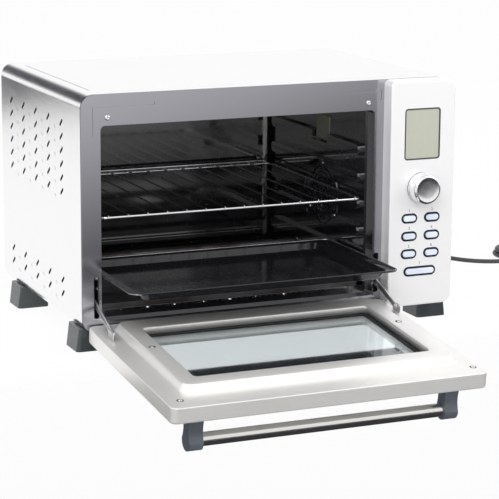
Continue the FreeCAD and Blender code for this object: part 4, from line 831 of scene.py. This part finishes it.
class OVEN_OT_display(OvenOperator):
    """Finish the display and frame it with its dark seal"""

    bl_idname = "oven.display"
    bl_label = "Display"

    def execute(self, context):
        colours = context.scene.oven_colours
        dress(display_face("display_grey", colours.display), "display_window")
        low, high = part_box("display_window")
        face_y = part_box("control_panel")[0].y
        edge = 3.0 * MM
        x0, x1, z0, z1 = low.x + edge, high.x - edge, low.z + edge, high.z - edge
        rings = []
        for grow, y in ((-1.3, 0.8), (-1.2, 0.0), (-0.4, -0.3), (0.6, -0.1), (0.7, 0.2)):
            g = grow * MM
            rings.append(ring_xz(x0 - g, x1 + g, z0 - g, z1 + g, 4 * MM + g, face_y + y * MM))
        rings.append(rings[0])
        seal = loops_piece("display_seal", rings, rubber("display_seal_black", (0.05, 0.05, 0.05)))
        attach(seal, "oven")
        return {"FINISHED"}


class OVEN_OT_buttons(OvenOperator):
    """Make each button's softly domed cap"""

    bl_idname = "oven.buttons"
    bl_label = "Buttons"

    def execute(self, context):
        colours = context.scene.oven_colours
        satin = moulded("button_satin", colours.button, 0.38, 1800.0)
        for number in range(1, 8):
            node = f"button_{number}"
            dress(satin, node)
            low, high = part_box(node)
            inset = 1.75 * MM
            x0, x1, z0, z1 = low.x + inset, high.x - inset, low.z + inset, high.z - inset
            half = (z1 - z0) / 2
            loops = []
            for share, y in ((1.0, 3.0), (1.0, 0.7), (0.97, 0.35), (0.90, 0.12), (0.75, 0.02), (0.4, -0.02)):
                g = half * (1 - share)
                loops.append(ring_xz(x0 + g, x1 - g, z0 + g, z1 - g, (half - g) * 0.98, low.y + (y + 0.02) * MM))
            cap = loops_piece(f"button_cap_{number}", loops, satin, True, True)
            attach(cap, node)
            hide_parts(node)
        return {"FINISHED"}


class OVEN_OT_knob(OvenOperator):
    """Turn the knob: ribbed side, bright chamfer and a slightly dished face"""

    bl_idname = "oven.knob"
    bl_label = "Knob"

    def execute(self, context):
        low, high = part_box("knob")
        radius = (high.x - low.x) / 2
        centre = ((low.x + high.x) / 2, low.y, (low.z + high.z) / 2)
        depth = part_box("control_panel")[0].y - low.y - 1.0 * MM
        ribs = 60

        def rib(k, along):
            on_side = 2.6 * MM < along < depth - 3.6 * MM
            return 1 - 0.022 * (k % 4 >= 2) if on_side else 1.0

        profile = [(0.9 * MM, radius * 0.04), (0.7 * MM, radius * 0.5), (0.35 * MM, radius * 0.72),
                   (0.1 * MM, radius * 0.76), (0.0, radius * 0.80), (0.3 * MM, radius * 0.85),
                   (1.5 * MM, radius * 0.925), (2.4 * MM, radius * 0.945), (2.8 * MM, radius * 0.955),
                   (depth - 3.8 * MM, radius * 0.972), (depth - 3.4 * MM, radius * 0.975),
                   (depth - 3.1 * MM, radius * 0.995), (depth - 0.3 * MM, radius), (depth, radius * 0.99),
                   (depth + 0.2 * MM, radius * 0.5), (depth + 9 * MM, radius * 0.14)]
        bright = polished_metal("knob_bright", (0.88, 0.88, 0.89), 0.22)
        knob = turned("knob_turned", profile, centre, (0, 1, 0), bright, ribs * 4, rib)
        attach(knob, "knob")
        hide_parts("knob")
        # Black ring filling the gap between the knob and the panel: painted shade.
        groove = rubber("knob_gap_painted_shade", (0.015, 0.015, 0.018), 0.5)
        gap = turned("knob_gap_shade_ring", [(0.0, radius * 0.96), (0.9 * MM, radius * 1.0), (1.0 * MM, radius * 0.5)],
                     (centre[0], low.y + depth - 0.05 * MM, centre[2]), (0, 1, 0), groove, 64)
        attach(gap, "knob")
        return {"FINISHED"}


class OVEN_OT_door(OvenOperator):
    """Press the door's inner sheet and finish its outer pan and screws"""

    bl_idname = "oven.door"
    bl_label = "Door"

    def execute(self, context):
        sizes, colours = context.scene.oven_sizes, context.scene.oven_colours
        steel = brushed_steel("door_steel_brushed", colours.door, X, 0.36, metallic=0.55, contrast=0.05)
        dress(steel, "door_shell")
        low, high = shut_box("door_shell")
        flange = high.y
        glass_low, glass_high = shut_box("door_glass")
        lap = sizes.glass_lap
        win = (glass_low.x + lap, glass_high.x - lap, glass_low.z + lap, glass_high.z - lap)
        top = (win[0] - sizes.frame_side, win[1] + sizes.frame_side, win[2] - sizes.frame_low,
               win[3] + sizes.frame_top)
        slope, rise = sizes.frame_slope, sizes.frame_rise
        seal_y = shut_box("glass_gasket")[1].y
        flange = shut_box("door_liner")[1].y - rise
        edge = 0.2 * MM
        rings = [
            (low.x + edge, high.x - edge, low.z + edge, high.z - edge, 9 * MM, flange - 1.4 * MM),
            (low.x + edge, high.x - edge, low.z + edge, high.z - edge, 9 * MM, flange),
            (*top[:1], top[1], top[2], top[3], 14 * MM, flange),
            (top[0] + slope, top[1] - slope, top[2] + slope, top[3] - slope, 11 * MM, flange + rise),
            (win[0], win[1], win[2], win[3], 6.5 * MM, flange + rise),
            (win[0], win[1], win[2], win[3], 6 * MM, seal_y)]
        rings = softened(rings, sizes.crease)
        loops = [ring_xz(*ring) for ring in rings]
        liner = loops_piece("door_inner_sheet", loops, steel)
        open_up(liner)
        thicken(liner, sizes.sheet)
        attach(liner, "door")
        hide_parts("door_liner")
        back = SWING.to_3x3() @ Vector((0, 1, 0))
        screws = screw_heads("door_screw", "door_screws", back, 3.0 * MM, 1.0 * MM, "door")
        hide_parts("door_screws")
        # Dark discs round the door screws: painted shadow in their recesses.
        shadow = rubber("screw_recess_painted_shadow", (0.01, 0.01, 0.012), 0.6)
        for number, (middle, _, _) in enumerate(parts_of("door_screws"), 1):
            cup = turned(f"door_screw_cup_{number}", [(0.0, 4.4 * MM), (0.15 * MM, 4.3 * MM),
                                                      (0.2 * MM, 2.0 * MM)],
                         middle - back * 0.5 * MM, tuple(back), shadow, 40)
            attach(cup, "door")
        return {"FINISHED"}


class OVEN_OT_glass(OvenOperator):
    """Finish the door's glass, its black seal and its clips"""

    bl_idname = "oven.glass"
    bl_label = "Door glass"

    def execute(self, context):
        colours = context.scene.oven_colours
        dress(clear_glass("door_glass_clear", colours.glass), "door_glass")
        dress(rubber("seal_black", (0.008, 0.008, 0.010), 0.4), "glass_gasket")
        dress(brushed_steel("clip_metal", (0.5, 0.5, 0.5), X), "glass_clamps")
        return {"FINISHED"}


class OVEN_OT_handle(OvenOperator):
    """Finish the handle's bar and its two curved posts"""

    bl_idname = "oven.handle"
    bl_label = "Handle"

    def execute(self, context):
        colours = context.scene.oven_colours
        dress(moulded("post_plastic", colours.moulding, 0.36), "handle_post_left", "handle_post_right")
        soften_edges(1.4 * MM, "handle_post_left", "handle_post_right")
        dress(brushed_steel("bar_steel", (0.74, 0.73, 0.71), X, 0.20, contrast=0.08), "handle_bar")
        return {"FINISHED"}


class OVEN_OT_hinges(OvenOperator):
    """Finish the hinge lugs, pins and two arms, and round the arms' edges"""

    bl_idname = "oven.hinges"
    bl_label = "Hinges"

    def execute(self, context):
        steel = stained_metal("hinge_steel", (0.74, 0.74, 0.75), (0.50, 0.50, 0.51), 0.26)
        dress(steel, "hinge_lugs", "arm_lugs", "hinge_pins", "hinge_arm_left", "hinge_arm_right")
        soften_edges(0.4 * MM, "hinge_arm_left", "hinge_arm_right")
        return {"FINISHED"}


class OVEN_OT_feet(OvenOperator):
    """Finish the feet and round their edges"""

    bl_idname = "oven.feet"
    bl_label = "Feet"

    def execute(self, context):
        colours = context.scene.oven_colours
        names = [n for n in frame["nodes"] if n.startswith("foot_")]
        dress(moulded("foot_plastic_grain", colours.foot, 0.22), *names)
        soften_edges(2.6 * MM, *names)
        return {"FINISHED"}


class OVEN_OT_stage(OvenOperator):
    """Set up the pale worktop, the floor, the world and the lamps"""

    bl_idname = "oven.stage"
    bl_label = "Studio"

    def execute(self, context):
        white = self.pale("worktop_white", far=False)
        floor_white = self.pale("floor_white", far=True)
        low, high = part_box("foot_front_left")
        front = low.y - 6 * MM
        corner = 6 * MM
        rings = [[(u, v, z) for u, v in rounded_loop(-1.6 + g, 1.9 - g, front + g, 1.9 - g, 0.05)]
                 for g, z in ((0.0, -40 * MM), (0.0, -corner), (corner * 0.3, -corner * 0.3), (corner, 0.0))]
        loops_piece("worktop", rings, white, True, True)
        size, drop = 12.0, -0.75
        floor = new_piece("floor", [(-size, -size, drop), (size, -size, drop), (size, size, drop),
                                    (-size, size, drop)], [(0, 1, 2, 3)], floor_white, False)
        self.world(context)
        self.lamp("key", (-1.4, -2.2, 2.4), 1.8, 38)
        self.lamp("fill", (2.2, -1.6, 1.6), 1.6, 18)
        context.scene.view_settings.view_transform = "Standard"
        return {"FINISHED"}

    def seen(self, f):
        """1 for rays that the viewer, a mirror or a glass sends, and 0 for light."""
        total = 0.0
        for output in ("Is Camera Ray", "Is Glossy Ray", "Is Transmission Ray"):
            total = f.node("ShaderNodeLightPath", output=output) + total
        return f.node("ShaderNodeClamp", {}, {"Value": total})

    def pale(self, name, far):
        """White that keeps a faint shadow. The floor looks darker in polished metal where it is near."""
        f = new_finish(name)
        grain = f.noise(200.0, 2)
        diffuse = f.node("ShaderNodeBsdfDiffuse", {}, {"Color": f.mix(grain, (0.90,) * 3, (0.92,) * 3)})
        glow = f.node("ShaderNodeEmission", {}, {"Color": (1, 1, 1, 1), "Strength": 1.0})
        seen = self.seen(f) * 0.94
        shader = f.node("ShaderNodeMixShader", {}, {0: seen, 1: diffuse, 2: glow})
        if far:
            reach = f.axis(Y) + (f.axis(X) - 1.6) * 0.9
            near = 1 - reach.between(-6.5, -3.9) * f.node("ShaderNodeLightPath", output="Is Glossy Ray")
            dark = f.node("ShaderNodeBsdfDiffuse", {}, {"Color": (0.04, 0.04, 0.045, 1)})
            shader = f.node("ShaderNodeMixShader", {}, {0: near, 1: dark, 2: shader})
        f.node("ShaderNodeOutputMaterial", {}, {"Surface": shader})
        return f.owner

    def world(self, context):
        """White room, with a dark screen behind the left that only polished metal shows."""
        f = Finish(bpy.data.worlds.new("studio"))
        context.scene.world = f.owner
        way = f.node("ShaderNodeTexCoord", output="Generated")
        aim = Vector((-0.25, 0.88, 0.46)).normalized()
        toward = f.node("ShaderNodeVectorMath", {"operation": "DOT_PRODUCT"}, {0: way, 1: tuple(aim)},
                        output="Value")
        glossy = f.node("ShaderNodeLightPath", output="Is Glossy Ray")
        screen = toward.between(0.905, 0.965) * glossy
        strength = 0.85 + self.seen(f) * 0.15
        shade = f.mix(screen, (1, 1, 1), (0.05, 0.05, 0.06))
        sky = f.node("ShaderNodeBackground", {}, {"Color": shade, "Strength": strength})
        f.node("ShaderNodeOutputWorld", {}, {"Surface": sky})

    def lamp(self, name, place, size, power):
        data = bpy.data.lights.new(name, "AREA")
        data.size, data.energy = size, power
        lamp = link_object(name, data)
        lamp.location = place
        lamp.rotation_euler = (Vector((0, -0.05, 0.1)) - Vector(place)).to_track_quat("-Z", "Y").to_euler()


PIECES = (OVEN_OT_camera, OVEN_OT_cord, OVEN_OT_casing, OVEN_OT_bezel, OVEN_OT_cavity, OVEN_OT_heating,
          OVEN_OT_rack, OVEN_OT_tray, OVEN_OT_panel, OVEN_OT_display, OVEN_OT_buttons, OVEN_OT_knob,
          OVEN_OT_door, OVEN_OT_glass, OVEN_OT_handle, OVEN_OT_hinges, OVEN_OT_feet, OVEN_OT_stage)


class OVEN_PT_pieces(bpy.types.Panel):
    """The oven's pieces and sizes"""

    bl_idname = "OVEN_PT_pieces"
    bl_label = "Toaster oven"
    bl_space_type = "VIEW_3D"
    bl_region_type = "UI"
    bl_category = "Oven"

    def draw(self, context):
        for piece in PIECES:
            self.layout.operator(piece.bl_idname)
        for group in (context.scene.oven_sizes, context.scene.oven_colours, context.scene.oven_view):
            box = self.layout.box()
            for key in group.__annotations__:
                box.prop(group, key)


CLASSES = (OvenSizes, OvenColours, OvenView, *PIECES, OVEN_PT_pieces)


def register():
    for made in CLASSES:
        bpy.utils.register_class(made)
    bpy.types.Scene.oven_sizes = PointerProperty(type=OvenSizes)
    bpy.types.Scene.oven_colours = PointerProperty(type=OvenColours)
    bpy.types.Scene.oven_view = PointerProperty(type=OvenView)


def unregister():
    for name in ("oven_sizes", "oven_colours", "oven_view"):
        delattr(bpy.types.Scene, name)
    for made in reversed(CLASSES):
        bpy.utils.unregister_class(made)


def main():
    """Build every piece in order."""
    register()
    for piece in PIECES:
        getattr(bpy.ops.oven, piece.bl_idname.split(".")[1])()


if __name__ == "__main__":
    main()
